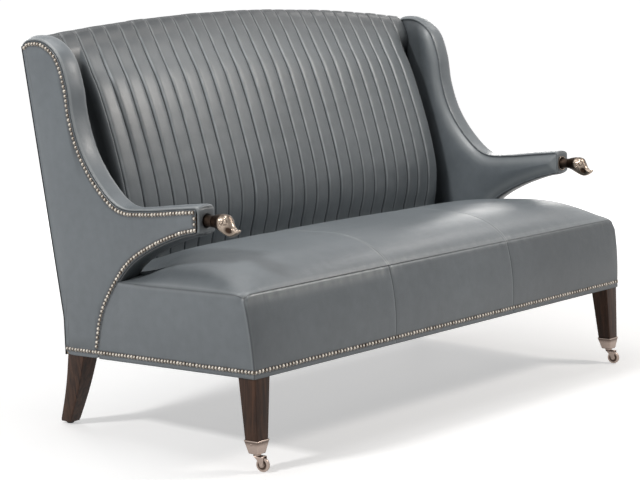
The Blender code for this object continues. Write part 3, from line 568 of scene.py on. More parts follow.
def stations(low, high, step, seams, near):
    """Places from low to high a step apart, packed close on both sides of each seam."""
    parts = [np.linspace(low, high, round((high - low) / step) + 1), np.asarray(seams)]
    for seam in seams:
        parts += [seam - np.asarray(near), seam + np.asarray(near)]
    merged = np.sort(np.concatenate(parts))
    merged = merged[(merged >= low) & (merged <= high)]
    kept = np.concatenate([[True], np.diff(merged) > closest_step])
    for seam in seams:
        kept[np.argmin(np.abs(merged - seam))] = True
    kept[0] = kept[-1] = True
    return merged[kept]


def ripple(along, reaches, phases):
    """Irregular waves along a seam: a sum of sines."""
    waves = [np.sin(2 * math.pi * along / reach + phase) for reach, phase in zip(reaches, phases)]
    return sum(waves) / len(waves)


seat_seams = (-seam_x, seam_x, -seat_side_x, seat_side_x, -arm_inner_x, arm_inner_x)
seat_x = stations(-seat_side_x, seat_side_x, station_step, seat_seams, near_seam)
front_z = np.concatenate([[base_underside_z], nail_rows, np.linspace(front_low_z, front_high_z, front_steps),
                          seat_edge_z - edge_gap[::-1]])
top_v = np.concatenate([edge_gap / seat_depth, np.linspace(0.065, 1, 64)])
pucker_phase = dice.uniform(0, 2 * math.pi, (4, 4))

# front panels
belly_out, belly_seam, belly_corner = 0.0046, 0.05, 0.025
lip_place, lip_reach, lip_out = 0.0060, 0.0045, 0.0016
pull_drop, pull_near, pull_out, pull_edge = 0.020, 0.06, 0.0014, 0.002
pleat_place, pleat_reach, pleat_drop, pleat_in = 0.0125, 0.0013, 0.045, 0.0014
roll_place, roll_reach, roll_drop, roll_out = 0.007, 0.005, 0.05, 0.0016
# painted light on the front: shade along the top seam that fades to the right, shade towards the right end
# and beside the left corner, shade in the corner knot, and a highlight below the top seam at the left
edge_light_x, edge_light_reach, knot_reach = -0.45, 0.6, 0.0090
right_dark_x, right_dark_reach, left_dark_reach = 0.05, 0.45, 0.06
lip_sheen_place, lip_sheen_reach, lip_sheen_x, lip_sheen_ease = 0.012, 0.013, -0.20, 0.12
face_x, face_z = np.meshgrid(seat_x, front_z)
below_edge = seat_edge_z - face_z
from_seam = np.abs(np.abs(face_x) - seam_x)
from_corner = seat_side_x - np.abs(face_x)
climb = ramp(face_z, flare_start_z, seat_edge_z - flare_start_z)
belly = belly_out * np.sin(math.pi * climb) ** 0.8 * np.minimum(1, from_seam / belly_seam + 0.8)
lip = bell(below_edge - lip_place, lip_reach)
pull = ripple(face_x, pucker_reach, pucker_phase[0]) * fade(below_edge, pull_drop)
pull = pull * (0.35 + 1.6 * fade(from_seam, pull_near) + 1.1 * fade(from_corner, pull_near))
pleat = bell(from_corner - pleat_place + 0.03 * below_edge, pleat_reach) * fade(below_edge, pleat_drop)
front_y = seat_front_slope * climb ** 2.1 - belly * (1 - fade(from_corner, belly_corner))
front_y = front_y + dip(from_seam, *seam_dip) + dip(below_edge, *edge_dip) + dip(from_corner, *corner_dip)
front_y = front_y - lip_out * lip - pull_out * pull * (1 - fade(below_edge, pull_edge))
front_y = front_y + pleat_in * pleat
front_y = front_y - roll_out * bell(from_corner - roll_place, roll_reach) * fade(below_edge, roll_drop)
# painted shade in the seams, under the top edge, at the corners, in the pleat and knot, along the nails,
# towards the right end and beside the left corner
edge_dark = 0.80 - 0.66 * ramp(face_x, edge_light_x, edge_light_reach)
shade_rows = ((from_seam, 0.0011, 0.50), (below_edge, 0.0014, edge_dark), (from_corner, 0.0022, 0.85),
               (from_corner, left_dark_reach, 0.22 * (face_x < 0)))
front_shade = np.maximum.reduce([*dark_lines(shade_rows), 0.55 * pleat, nail_line_shade(face_z - base_nail_z),
                                  0.46 * ramp(face_x, right_dark_x, right_dark_reach),
                                  0.95 * bell(np.hypot(from_corner, below_edge), knot_reach)])
# painted highlights on the lip, beside the corner and seams, and a broad one below the top seam at the left
highlight_rows = ((from_corner, 0.004, 0.0022, 0.30), (from_seam, 0.003, 0.0016, 0.25))
lip_sheen = bell(below_edge - lip_sheen_place, lip_sheen_reach) * ramp(face_x, lip_sheen_x, -lip_sheen_ease)
front_highlight = (0.50 * lip * (0.7 + 0.8 * pull) + sum(soft_lines(highlight_rows))
             + 0.95 * lip_sheen * np.clip(0.80 + 1.6 * pull, 0.1, 1.2))
front_x = flared(face_x, climb, flare_reach, from_corner)
front_patch = seat_patch(front_x, front_y, face_z, front_shade, front_highlight)

# top panels, their rear edge tucked under the back and, at the ends, stopped at the arm's underside
under_clear, stop_clear = 0.0008, 0.0006
try_y = np.linspace(0.25, seat_rear_y, 600)
sag_reach, sag_in, edge_ease = 0.030, 0.0016, 0.004
puff_drop, puff_near, puff_up, puff_edge, puff_end = 0.020, 0.05, 0.0012, 0.003, 0.01
# painted shade in the corner knots, painted light over the ends and a painted highlight along the edge at the
# right
top_knot_reach, end_glow_reach, rim_glow_x, rim_glow_reach = 0.0080, 0.09, -0.10, 0.35
top_u = seat_x / seat_side_x
under_z = np.interp(try_y, under_line[:, 0], under_line[:, 1])
under_z = np.where(try_y > under_line[:, 0].max(), base_underside_z, under_z)
try_v = (try_y - seat_front_slope) / (seat_rear_y - seat_front_slope)
reach_arm = seat_edge_z + crown(top_u[:, None], try_v[None]) > under_z[None] - under_clear
stop_y = try_y[np.argmax(reach_arm, axis=1)] - stop_clear
rear_y = np.where(np.abs(seat_x) >= arm_inner_x, stop_y, seat_rear_y)
top_y = seat_front_slope + top_v[:, None] * (rear_y - seat_front_slope)[None]
top_x = np.broadcast_to(seat_x, top_y.shape)
cloth_v = (top_y - seat_front_slope) / (seat_rear_y - seat_front_slope)
over_seat = np.sin(math.pi * np.clip(cloth_v, 0, 1))
from_edge = top_y - seat_front_slope
from_seam = np.abs(np.abs(top_x) - seam_x)
from_end = seat_side_x - np.abs(top_x)
top_z = seat_edge_z + crown(top_u[None], cloth_v)
top_z = top_z - dip(from_seam, *seam_dip) * np.minimum(1, from_edge / edge_ease)
top_z = top_z - sag_in * bell(from_seam, sag_reach) * over_seat
pull = ripple(top_x, pucker_reach, pucker_phase[1]) * fade(from_edge, puff_drop)
pull = pull * (0.5 + 1.5 * fade(from_seam, puff_near) + 0.8 * fade(from_end, puff_near))
top_z = top_z + puff_up * pull * (1 - fade(from_edge, puff_edge)) * np.minimum(1, from_end / puff_end)
slack = ripple(top_y * 1.3 + top_x * 0.4, slack_reach, pucker_phase[2])
top_z = top_z + slack_rise * slack * np.minimum(1, from_end / slack_end) * over_seat
# painted shade in the seams, along the front edge where it fades to the right, at the ends and corner knots
edge_dark = 0.80 - 0.66 * ramp(top_x, edge_light_x, edge_light_reach)
shade_rows = ((from_seam, 0.0009, 0.30), (from_edge, 0.0013, edge_dark), (from_end, 0.0013, 0.6))
top_shade = np.maximum.reduce([*dark_lines(shade_rows),
                                0.95 * bell(np.hypot(from_end, from_edge), top_knot_reach)])
# painted highlights beside the seams, the front edge and the ends, a thin one on the edge at the right, and
# faint painted light over the ends
highlight_rows = ((from_seam, 0.0035, 0.002, 0.55), (from_edge, 0.006, 0.004, 0.30 * (1 + pull)),
            (from_end, 0.005, 0.003, 0.30),
            (from_edge, 0, 0.0022, 0.45 * ramp(top_x, rim_glow_x, rim_glow_reach)))
top_highlight = sum(soft_lines(highlight_rows)) + 0.10 * fade(from_end, end_glow_reach)
end_column = np.where(top_x < 0, top_y[:, :1], top_y[:, -1:])
end_stop = np.where(top_x < 0, top_y[-1, 0], top_y[-1, -1])
top_patch = seat_patch(flared(top_x, 1.0, end_stop - end_column, from_end), top_y, top_z, top_shade, top_highlight)

# end panels, cut to the arm's underside
end_belly, end_belly_arm, end_belly_corner = 0.0030, 0.10, 0.03
end_pull, end_pull_drop, end_pull_edge, end_pull_arm = 0.0008, 0.014, 0.002, 0.03
end_flat, end_hem = 0.002, 0.0015
end_patches = []
for side in (-1, 1):
    arm_y = np.interp(-front_z, -under_line[:, 1], under_line[:, 0]) - stop_clear
    column = 0 if side < 0 else -1
    arm_y[-1] = top_y[-1, column]
    start_y = front_y[:, column]
    share = (top_y[:, column] - top_y[0, column]) / (top_y[-1, column] - top_y[0, column])
    end_y = start_y[:, None] + (arm_y - start_y)[:, None] * share[None]
    end_z = np.broadcast_to(front_z[:, None], end_y.shape)
    below_edge = seat_edge_z - end_z
    from_corner = end_y - start_y[:, None]
    to_arm = arm_y[:, None] - end_y
    climb = ramp(end_z, flare_start_z, seat_edge_z - flare_start_z)
    belly = end_belly * np.sin(math.pi * climb) * np.minimum(1, to_arm / end_belly_arm)
    belly = belly * np.minimum(1, from_corner / end_belly_corner)
    pull = ripple(end_y, pucker_reach, pucker_phase[3]) * fade(below_edge, end_pull_drop)
    pull = end_pull * pull * (1 - fade(below_edge, end_pull_edge)) * np.minimum(1, to_arm / end_pull_arm)
    belly = (belly + pull) * (1 - fade(from_corner, end_flat)) * (1 - fade(below_edge, end_hem))
    # painted shade under the top edge, at the corner seam, under the arm and along the nails; painted
    # highlights below the edge and beside the corner
    shade_rows = ((below_edge, 0.0016, 0.7), (from_corner, 0.0018, 0.6), (to_arm, 0.004, 0.5))
    darkening = np.maximum.reduce([*dark_lines(shade_rows), nail_line_shade(end_z - base_nail_z)])
    highlight_rows = ((below_edge, 0.005, 0.003, 0.25), (from_corner, 0.004, 0.002, 0.3))
    end_patches.append(seat_patch(side * (seat_side_x + belly + flare(climb, to_arm)), end_y, end_z, darkening,
                                  sum(soft_lines(highlight_rows))))

# foam block under the cover, cut to the same crown
foam_gap, foam_above_rail = 0.0040, 0.0032
foam_cells, foam_bump_height, foam_rough, foam_fill = 900, 0.0005, 0.92, 0.95
foam_dark, foam_light = (0.52, 0.46, 0.34), (0.68, 0.62, 0.48)
seat_wall, seat_fill = 0.0022, 0.9
foam_x = np.linspace(-seat_side_x + foam_gap, seat_side_x - foam_gap, 81)
foam_share = np.concatenate([[0, 0.004, 0.012, 0.025], np.linspace(0.045, 1, 44)])
foam_rear = np.interp(foam_x, seat_x, rear_y) - foam_gap
foam_front = seat_front_slope + foam_gap
foam_y = foam_front + foam_share[:, None] * (foam_rear - foam_front)[None]
foam_wide = np.broadcast_to(foam_x, foam_y.shape)
foam_v = (foam_y - seat_front_slope) / (seat_rear_y - seat_front_slope)
foam_top = seat_edge_z - foam_gap + crown(foam_wide / seat_side_x, foam_v)
upper_skin = np.stack([foam_wide, foam_y, foam_top], -1)
lower_skin = np.stack([foam_wide, foam_y, np.full(foam_y.shape, rail_top_z + foam_above_rail)], -1)
skirts = [np.stack([upper_skin[k], lower_skin[k]]) for k in (0, -1)]
skirts += [np.stack([upper_skin[:, k], lower_skin[:, k]]) for k in (0, -1)]
foam_stuff, tree, shader = new_material("cream_foam")
open_cells = wire(tree, "ShaderNodeTexVoronoi", None, {"Vector": object_place(tree), "Scale": foam_cells})
foam_tone = blend(tree, open_cells.outputs["Distance"], foam_dark, foam_light)
foam_bump = bumped(tree, open_cells.outputs["Distance"], 0.5, foam_bump_height)
finish_shader(tree, shader, Base_Color=foam_tone, Normal=foam_bump, Roughness=foam_rough)
foam_mesh = mesh_of("seat_foam_block", [{"grid": upright(g)} for g in [upper_skin, lower_skin] + skirts])
foam = piece("seat_foam_block", foam_mesh, foam_stuff, ["seat_foam"])

seat_mesh = mesh_of("seat_leather", [front_patch, top_patch] + end_patches, facing=(0, -0.3, 1))
seat = piece("seat_leather", seat_mesh, blue_grey, ["seat_cover"])
give_wall(seat, seat_wall)


# Channelled back: twenty-eight stuffed pipes of the same hide, stitched down between them and rolled over the
# crest rail. Flat-topped, with a painted highlight on their left shoulders, painted shade in the valleys and
# over the roll; the ones beside the wings sink into a crevice painted in shade.
channel_count = 28
channel_pitch = 2 * arm_inner_x / channel_count
channel_puff = 0.0080
crest_peak, crest_drop = 1.099, 0.054
roll_start_drop, blend_below_roll = 0.070, 0.02
channel_foot_z = 0.395
stuffing_depth = 0.140
# valley line over the face: share of the height up to the roll, share of the stuffing's depth
face_places = np.array([[0, 0.600], [0.115, 0.630], [0.17, 0.735], [0.23, 0.850], [0.33, 0.935],
                        [0.45, 0.918], [0.56, 0.857], [0.67, 0.779], [0.77, 0.693], [0.86, 0.593],
                        [0.93, 0.471]])
# valley line over the roll: depth in front of the back plane, height above the roll's start
roll_places = np.array([[0.048, 0], [0.034, 0.025], [0.022, 0.047], [0.010, 0.0605], [0.003, 0.054],
                        [0.0004, 0.035]])
# the closed back of the stuffing: depth, height
hidden = np.array([[0.0043, crest_peak - 0.0355], [0.0043, crest_peak - 0.0497],
                   [0.0266, crest_peak - 0.0497], [0.0269, 0.700], [0.0269, 0.450], [0.0269, 0.3955]])
profile_steps, profile_count, profile_blur = 12, 118, 10
end_thinning, end_reach, thin_start, roll_thin_share = 0.17, 0.075, 0.115, 0.07
channel_steps = np.array([0, 0.011, 0.026, 0.046, 0.072, 0.105, 0.15, 0.21, 0.29, 0.39, 0.5])
channel_steps = np.concatenate([channel_steps, 1 - channel_steps[-2::-1]])
roll_start, roll_run, roll_fill = 0.150, 0.110, 0.66
dimple_reaches, dimple_rise, dimple_side = (0.043, 0.071, 0.118), 0.00045, 0.012
# the crevice beside each wing, left and right: where it starts, how far its slope runs
gap_starts, gap_slopes, gap_depth, gap_behind, gap_lip = (0.1040, 0.0530), (0.034, 0.013), 0.044, 0.036, 0.001
gap_end, gap_end_run = 0.128, 0.080
ridge_reach, ridge_end, ridge_puff, ridge_puff_side = 0.055, 0.035, 0.0052, 0.0040
sway, sway_reach, seam_sway, seam_sway_reaches = 0.0007, 0.16, 0.0006, (0.045, 0.083)
# painted shade in the valleys and at the roll's ridge, painted highlights on the pipes' shoulders, weaker low
# down and on the left-most pipes, but for the third from the left
valley_shades = (0.0017, 0.88), (0.0009, 0.88)
shoulder_highlights = (0.0046, 0.0024, 0.95), (0.0042, 0.0020, 0.22)
ridge_dark_shift, ridge_dark_reach = 0.004, 0.030
highlight_x, highlight_x_reach, highlight_channel = -0.62, 0.45, 2


def crest_z(x):
    return crest_peak - crest_drop * (x / half_width) ** 2


roll_z = crest_peak - roll_start_drop
face_run = np.stack([face_places[:, 1] * stuffing_depth,
                     channel_foot_z + face_places[:, 0] * (roll_z - channel_foot_z)], 1)
profile = curve_through(np.concatenate([face_run, roll_places + [0, roll_z]]), profile_steps)
profile = spaced(profile, profile_count)
on_face = profile[:, 1] < roll_z - blend_below_roll
for _ in range(profile_blur):
    blurred = profile[:, 0].copy()
    blurred[1:-1] = (profile[:-2, 0] + 2 * profile[1:-1, 0] + profile[2:, 0]) / 4
    profile[on_face, 0] = blurred[on_face]
loop = np.concatenate([profile, hidden])
along = lengths_along(profile)
length = along[-1]

columns = np.concatenate([k + channel_steps[:-1] for k in range(channel_count)] + [[channel_count]])
channel = np.minimum(np.floor(columns).astype(int), channel_count - 1)
across = columns - channel
from_left, from_right = across * channel_pitch, (1 - across) * channel_pitch
from_valley = np.minimum(across, 1 - across)
channel_x = -arm_inner_x + columns * channel_pitch
top = crest_z(channel_x)
stretch = (top - roll_start_drop - channel_foot_z) / (roll_z - channel_foot_z)
back_z = np.where(loop[:, 1:] <= roll_z, channel_foot_z + (loop[:, 1:] - channel_foot_z) * stretch[None],
                  loop[:, 1:] + top[None] - crest_peak)
# the stuffing thins towards the wings, above the seat and below the roll
rise = (loop[:, 1] - channel_foot_z) / (roll_z - channel_foot_z)
thinned = ramp(rise, thin_start, thin_start) * ramp(rise, 1, -roll_thin_share)
thinned[profile_count:] = 0
thinned = thinned[:, None] * (end_thinning * np.exp((np.abs(channel_x) - arm_inner_x) / end_reach))[None]
back_y = back_plane_y(back_z) - loop[:, :1] * (1 - thinned)
run_y, run_z = np.gradient(back_y, axis=0), np.gradient(back_z, axis=0)
run = np.maximum(np.hypot(run_y, run_z), tiny)

plump = dice.uniform(0.92, 1.06, channel_count)[channel]
lean_over = dice.uniform(-0.10, 0.10, channel_count)[channel]
skewed = np.clip(across + lean_over * across * (1 - across), 0, 1)
swell = np.maximum(0, 1 - np.abs(2 * skewed - 1) ** 5.5) ** 0.55
over_roll = smooth(ramp(along, length - roll_start, roll_run))
valley_fill = channel_puff * roll_fill * over_roll
wave_phase = dice.uniform(0, 2 * math.pi, (3, channel_count + 1))
dimple = sum(np.sin(2 * math.pi * along[:, None] / reach + wave_phase[k][channel][None])
             for k, reach in enumerate(dimple_reaches)) / 3
puff = valley_fill[:, None] + (channel_puff - valley_fill)[:, None] * (plump * swell)[None]
to_wing = arm_inner_x - np.abs(channel_x)
gap_start = np.where(channel_x < 0, *gap_starts)
gap_slope = np.where(channel_x < 0, *gap_slopes)
fall = smooth(ramp(to_wing, gap_start, -gap_slope))
out_of_gap = ramp(along, length - gap_end, gap_end_run)[:, None]
deepest = np.maximum(0, profile[:, :1] - gap_behind)
sink = np.minimum(gap_depth * fall[None], deepest) * (1 - 0.97 * out_of_gap)
ridge = along[np.argmax(profile[:, 1])]
ridge_bell = bell(along - ridge, ridge_reach) * ramp(along, length, -ridge_end)
over_ridge = ridge_puff + ridge_puff_side * (channel_x / arm_inner_x) ** 2
puff = puff - sink + ridge_bell[:, None] * over_ridge[None]
by_seam = np.minimum(1, swell * 1.2) * fade(from_valley * channel_pitch, dimple_side)
puff = puff + dimple_rise * dimple * by_seam
puff = puff + sway * swell * np.sin(along[:, None] / sway_reach + wave_phase[0][channel][None])
back_y[:profile_count] += (-run_z / run)[:profile_count] * puff
back_z[:profile_count] += (run_y / run)[:profile_count] * puff
seam_wave = dice.uniform(0, 2 * math.pi, (2, channel_count + 1))
nearest_seam = np.round(columns).astype(int)
inner_seam = (nearest_seam > 0) & (nearest_seam < channel_count)
wiggle = seam_sway * sum(np.sin(along[:, None] / reach + wave[nearest_seam][None])
                         for reach, wave in zip(seam_sway_reaches, seam_wave))
spread_x = np.broadcast_to(channel_x, back_y.shape).copy()
spread_x[:profile_count] += wiggle * (inner_seam * (1 - 2 * from_valley))[None]

# painted shade in the crevice beside each wing, in the valleys and over the crest roll
in_gap = ramp(to_wing, gap_start + gap_lip, -0.5 * gap_slope)[None] * (1 - 0.95 * out_of_gap)
valley_dark = np.maximum.reduce([strength * fade(gap, reach)
                                 for gap, (reach, strength) in zip((from_right, from_left), valley_shades)])
roll_dark = np.maximum(0.50 * over_roll, 0.78 * bell(along - ridge + ridge_dark_shift, ridge_dark_reach))
darkening = np.zeros(back_y.shape)
darkening[:profile_count] = np.maximum(np.maximum(valley_dark[None], 0.95 * in_gap), roll_dark[:, None])
height_share = along / length
highlight_by_height = 0.38 + 0.62 * ramp(height_share, 0.12, 0.30)
highlight_across = np.where(channel == highlight_channel, 1.0, 0.50 + 0.50 * ramp(channel_x, highlight_x, highlight_x_reach))
highlight_across = np.maximum(highlight_across[None], ramp(height_share, 0.52, 0.15)[:, None])
# painted highlight on each pipe's shoulders, much stronger on its left one
shoulder = sum(strength * bell(gap - place, reach)
               for gap, (place, reach, strength) in zip((from_left, from_right), shoulder_highlights))
wear_and_highlight = np.zeros(back_y.shape)
wear_and_highlight[:profile_count] = shoulder[None] * highlight_across * highlight_by_height[:, None] * (0.85 + 0.25 * dimple)
channel_dark, channel_light = (0.131, 0.149, 0.162), (0.164, 0.184, 0.198)
# tones of the painted shade and of the painted highlights
channel_shade_tone, channel_highlight_tone = (0.013, 0.015, 0.017), (0.43, 0.46, 0.475)
channel_leather = hide_leather("channel_leather", channel_dark, channel_light, channel_shade_tone, channel_highlight_tone)
channel_mesh = mesh_of("channel_back_leather", [
    {"grid": upright(np.stack([spread_x, back_y, back_z], -1)), "wrap": (True, False), "caps": "columns",
     "darkening": darkening, "wear_and_highlight": wear_and_highlight}])
channels = piece("channel_back_leather", channel_mesh, channel_leather,
                 ["channel_back"])


# Arm and wing pads: hide over thin padding on the solid frames. The inside face is sewn to a narrow band
# that wraps the wing, the arm and its square front, where a round socket is cut for the finial's neck.
band_inner_x, band_outer_x = 0.7600, 0.8158
band_width = band_outer_x - band_inner_x
band_share = np.concatenate([[0, 0.010, 0.026, 0.055, 0.10, 0.17], np.linspace(0.25, 0.86, 9),
                             [0.93, 0.97, 1]])
band_base, band_swell, band_dip, band_dip_reach = 0.0008, 0.0048, 0.0012, 0.0016
band_ripple, band_ripple_reaches, band_ripple_side = 0.0006, (0.023, 0.041, 0.067), 0.008
# the band's bulge: places from front to back and shares
bulge_y = (0.171, 0.31, 0.42, 0.52, 0.60, 0.66, 0.71, 0.75)
bulge_share = (1.25, 1.25, 0.3, 0.3, 0.7, 0.9, 1.9, 2.2)
socket_x, socket_z, socket_radius = 0.785, 0.604, 0.0185
pad_floor_z, pad_skin, pad_weld, pad_wall, pad_fill = 0.3353, 0.0003, 0.00005, 0.0035, 0.7
free_start, free_run, free_z, free_z_run = 0.075, 0.05, 0.43, 0.05
pad_full, pad_full_reach, pad_slack, pad_slack_edge = 0.0070, 0.028, 0.0008, 0.05
pad_slack_reaches = (0.21, 0.13, 0.34)
edge_turn, edge_turn_reach, seam_blend = 0.0085, 0.021, 0.0012
front_fade, front_fade_run, tuck_start, tuck_run = 0.012, -0.010, 0.085, 0.028
# painted shade along the inside seam, painted highlights inside the rim and beside the front corner
seam_dark, seam_dark_reach, corner_sheen_place, corner_sheen_reach = 0.38, 0.0011, 0.006, 0.004
rim_sheen_place, rim_sheen_reach = 0.014, 0.011
mark_width = 0.056
# painted shade and painted highlight lines along the band's two seams
inner_marks, outer_marks = (0.0012, 0.45), (0.0016, 0.35)
inner_sheen, outer_sheen = (0.0040, 0.0020, 0.55), (0.003, 0.0028, 0.85)
# the square front: how far each ring has closed in on the socket, and how far it lies behind the front
front_set = 0.0016
front_rings = ((0, None), (0.06, 0.0012), (0.16, 0.0002), (0.34, -0.0002), (0.60, 0), (0.84, 0.0004),
               (0.95, 0.0009))
socket_rings = ((0, 0.0022), (-0.0004, 0.006), (-0.0004, 0.012))
# painted shade on the square front, deepening towards the socket, and a painted highlight near its edge
socket_face_shade = np.array([0.30, 0.1, 0.1, 0.22, 0.34, 0.45, 0.6, 0.8, 1, 1])[:, None]
socket_face_highlight = np.array([0.35, 0.6, 0.45, 0.1, 0, 0, 0, 0, 0, 0])[:, None]


def outward(line):
    """Unit normals of a run of (y, z) points that goes forward along the top: away from the shape."""
    step = np.gradient(line, axis=0)
    step = step / np.maximum(np.linalg.norm(step, axis=1, keepdims=True), tiny)
    return np.stack([step[:, 1], -step[:, 0]], 1)


def band_across(rim_line, normals, phase, bulge_at=(0, 1), bulge=(1, 1)):
    """The band's strip: grid (along, across, xyz) from the inner seam to the outside panel's edge, its
    bulge given by pairs of a place from front to back and a share."""
    run = lengths_along(rim_line)[:, None]
    from_inner = band_share[None] * band_width
    from_outer = band_width - from_inner
    full = np.interp(rim_line[:, 0], bulge_at, bulge)[:, None]
    across = np.clip(from_inner / band_width, 0, 1)
    rise = (band_base + band_swell * full * np.sin(math.pi * across ** 0.8) ** 0.7
            - band_dip * fade(from_inner, band_dip_reach) - band_dip * fade(from_outer, band_dip_reach))
    rise = rise + band_ripple * ripple(run, band_ripple_reaches, phase) * fade(from_inner, band_ripple_side)
    places = rim_line[:, None] + normals[:, None] * rise[..., None]
    x = np.broadcast_to(band_inner_x + from_inner, rise.shape)
    return np.concatenate([x[..., None], places], -1)


def front_face(edge_loop):
    """The arm's square front, from its edge in to the socket and a little way down the hole."""
    angle = np.arctan2(edge_loop[:, 2] - socket_z, edge_loop[:, 0] - socket_x)
    front_y = arm_front_y - front_set
    circle = np.stack([np.cos(angle), np.zeros(len(angle)), np.sin(angle)], 1)
    rim_circle = np.array([socket_x, 0, socket_z]) + socket_radius * circle
    rings = []
    for share, behind in front_rings:
        ring = edge_loop + share * (rim_circle - edge_loop)
        ring[:, 1] = edge_loop[:, 1] if behind is None else front_y + behind
        rings.append(ring)
    for grow, behind in socket_rings:
        rings.append(np.array([socket_x, front_y + behind, socket_z]) + (socket_radius + grow) * circle)
    return np.stack(rings)


pad_grid, pad_rim, pad_front = arm_region(pad_floor_z)
pad_from_rim = distance_to(pad_rim, pad_grid)
pad_top, pad_low = pad_grid[:, 0], pad_grid[:, -1]
forward = back_plane_y(pad_grid[..., 1]) - pad_grid[..., 0]
free = smooth(ramp(forward, free_start, free_run)) * ramp(pad_grid[..., 1], free_z, free_z_run)
inner_marked, outer_marked = band_share * mark_width, (1 - band_share) * mark_width
band_shade = np.maximum(inner_marks[1] * fade(inner_marked, inner_marks[0]),
                         outer_marks[1] * fade(outer_marked, outer_marks[0]))
band_highlight = np.maximum.reduce(soft_lines(((inner_marked, *inner_sheen), (outer_marked, *outer_sheen))))
at_front = ramp(pad_grid[..., 0], arm_front_y + front_fade, front_fade_run)
# painted shade on the inside face towards the back and in its seam; painted highlights inside the rim and
# beside the front corner
tucked = 0.62 * fade(np.maximum(0, forward - tuck_start), tuck_run)
inside_shade = np.maximum(seam_dark * fade(pad_from_rim, seam_dark_reach) * (1 - 0.8 * at_front), tucked)
inside_highlight = np.maximum(0.52 * bell(pad_from_rim - rim_sheen_place, rim_sheen_reach) * free,
                        0.55 * bell(pad_grid[..., 0] - arm_front_y - corner_sheen_place, corner_sheen_reach))
for side, tag in ((-1, "left"), (1, "right")):
    phase = dice.uniform(0, 2 * math.pi, (3, 3))
    fullness = pad_full * (1 - fade(pad_from_rim, pad_full_reach)) * free
    slack = ripple(pad_grid[..., 0] * 0.9 + pad_grid[..., 1], pad_slack_reaches, phase[0])
    fullness = fullness + pad_slack * slack * free * np.minimum(1, pad_from_rim / pad_slack_edge)
    face_x = arm_inner_x + pad_skin - fullness + edge_turn * bell(pad_from_rim, edge_turn_reach, 1.35)
    seamed = fade(pad_from_rim, seam_blend)
    face_x = face_x * (1 - seamed) + band_inner_x * seamed
    inside = np.concatenate([side * face_x[..., None], pad_grid], -1)
    top_band = band_across(pad_top, outward(pad_top), phase[1], bulge_y, bulge_share)
    low_line = pad_low[wing_count - 1:]
    low_band = band_across(low_line, -outward(low_line), phase[2])
    front_band = band_across(pad_front, np.tile([-1.0, 0.0], (len(pad_front), 1)), phase[1])
    front_band[0], front_band[-1] = top_band[-1], low_band[-1]
    edge_loop = np.concatenate([front_band[0], front_band[1:-1, -1], front_band[-1, ::-1],
                                front_band[1:-1, 0][::-1]])
    patches = [{"grid": upright(inside), "darkening": inside_shade, "wear_and_highlight": inside_highlight},
               {"grid": upright(top_band * [side, 1, 1]), "darkening": band_shade[None], "wear_and_highlight": band_highlight[None]},
               # the band under the arm is painted in shade
               {"grid": upright(low_band * [side, 1, 1]), "darkening": np.maximum(band_shade, 0.86)[None],
                "wear_and_highlight": 0.6 * band_highlight[None]},
               {"grid": upright(front_face(edge_loop) * [side, 1, 1]), "wrap": (False, True),
                "darkening": socket_face_shade, "wear_and_highlight": socket_face_highlight}]
    pad_mesh = mesh_of(f"arm_pad_leather_{tag}", patches, facing=(-side, 0, 0), weld=pad_weld)
    pad = piece(f"arm_pad_leather_{tag}", pad_mesh, blue_grey, [f"arm_pad_{tag}"])
    give_wall(pad, pad_wall)


# Outside arm panels: hide drawn flat over a thin lining on each side, edges turned under, held by the nail
# line that dents it a little all round, with painted shade at the turned edges and along the nail lines.
nail_inset, nail_dent, nail_dent_reach = 0.008, 0.0009, 0.0045
panel_round, panel_round_in = 0.0042, 0.0036
panel_full, panel_full_start, panel_full_reach, panel_slack = 0.0030, 0.004, 0.022, 0.0009
panel_slack_reaches = (0.33, 0.21, 0.55)
panel_edge_dark, panel_edge_reach, back_clear, row_clear = 0.40, 0.0012, 0.018, 0.006
panel_wall, panel_fill = 0.0006, 0.5


def turned_under(gap, radius, depth):
    """How far a panel's edge rolls in, by the distance from its rim."""
    return depth * (1 - np.sqrt(1 - np.clip(1 - gap / radius, 0, 1) ** 2))


panel_grid, panel_rim, _ = arm_region(base_underside_z)
panel_from_rim = distance_to(panel_rim, panel_grid)
panel_y, panel_z = panel_grid[..., 0], panel_grid[..., 1]
fill = 1 - fade(np.maximum(0, panel_from_rim - nail_inset - panel_full_start), panel_full_reach)
edge_row = nail_line_shade(panel_from_rim - nail_inset) * (panel_y < back_plane_y(panel_z) - back_clear)
# painted shade at the turned edge and along the nail lines
panel_shade = np.maximum.reduce([panel_edge_dark * fade(panel_from_rim, panel_edge_reach),
                                  nail_line_shade(panel_z - base_nail_z),
                                  edge_row * (panel_z > base_nail_z + row_clear)])
for side, tag in ((-1, "left"), (1, "right")):
    phase = dice.uniform(0, 2 * math.pi, 3)
    panel_x = half_width - skin_gap - turned_under(panel_from_rim, panel_round, panel_round_in)
    panel_x = panel_x - nail_dent * bell(panel_from_rim - nail_inset, nail_dent_reach)
    slack = ripple(panel_z + 0.4 * panel_y, panel_slack_reaches, phase)
    panel_x = panel_x + panel_full * fill + panel_slack * slack * fill
    places = upright(np.concatenate([side * panel_x[..., None], panel_grid], -1))
    panel_mesh = mesh_of(f"outside_arm_leather_{tag}", [{"grid": places, "darkening": panel_shade}],
                         facing=(side, 0, 0))
    panel = piece(f"outside_arm_leather_{tag}", panel_mesh, blue_grey,
                  [f"outside_arm_panel_{tag}"])
    give_wall(panel, panel_wall)


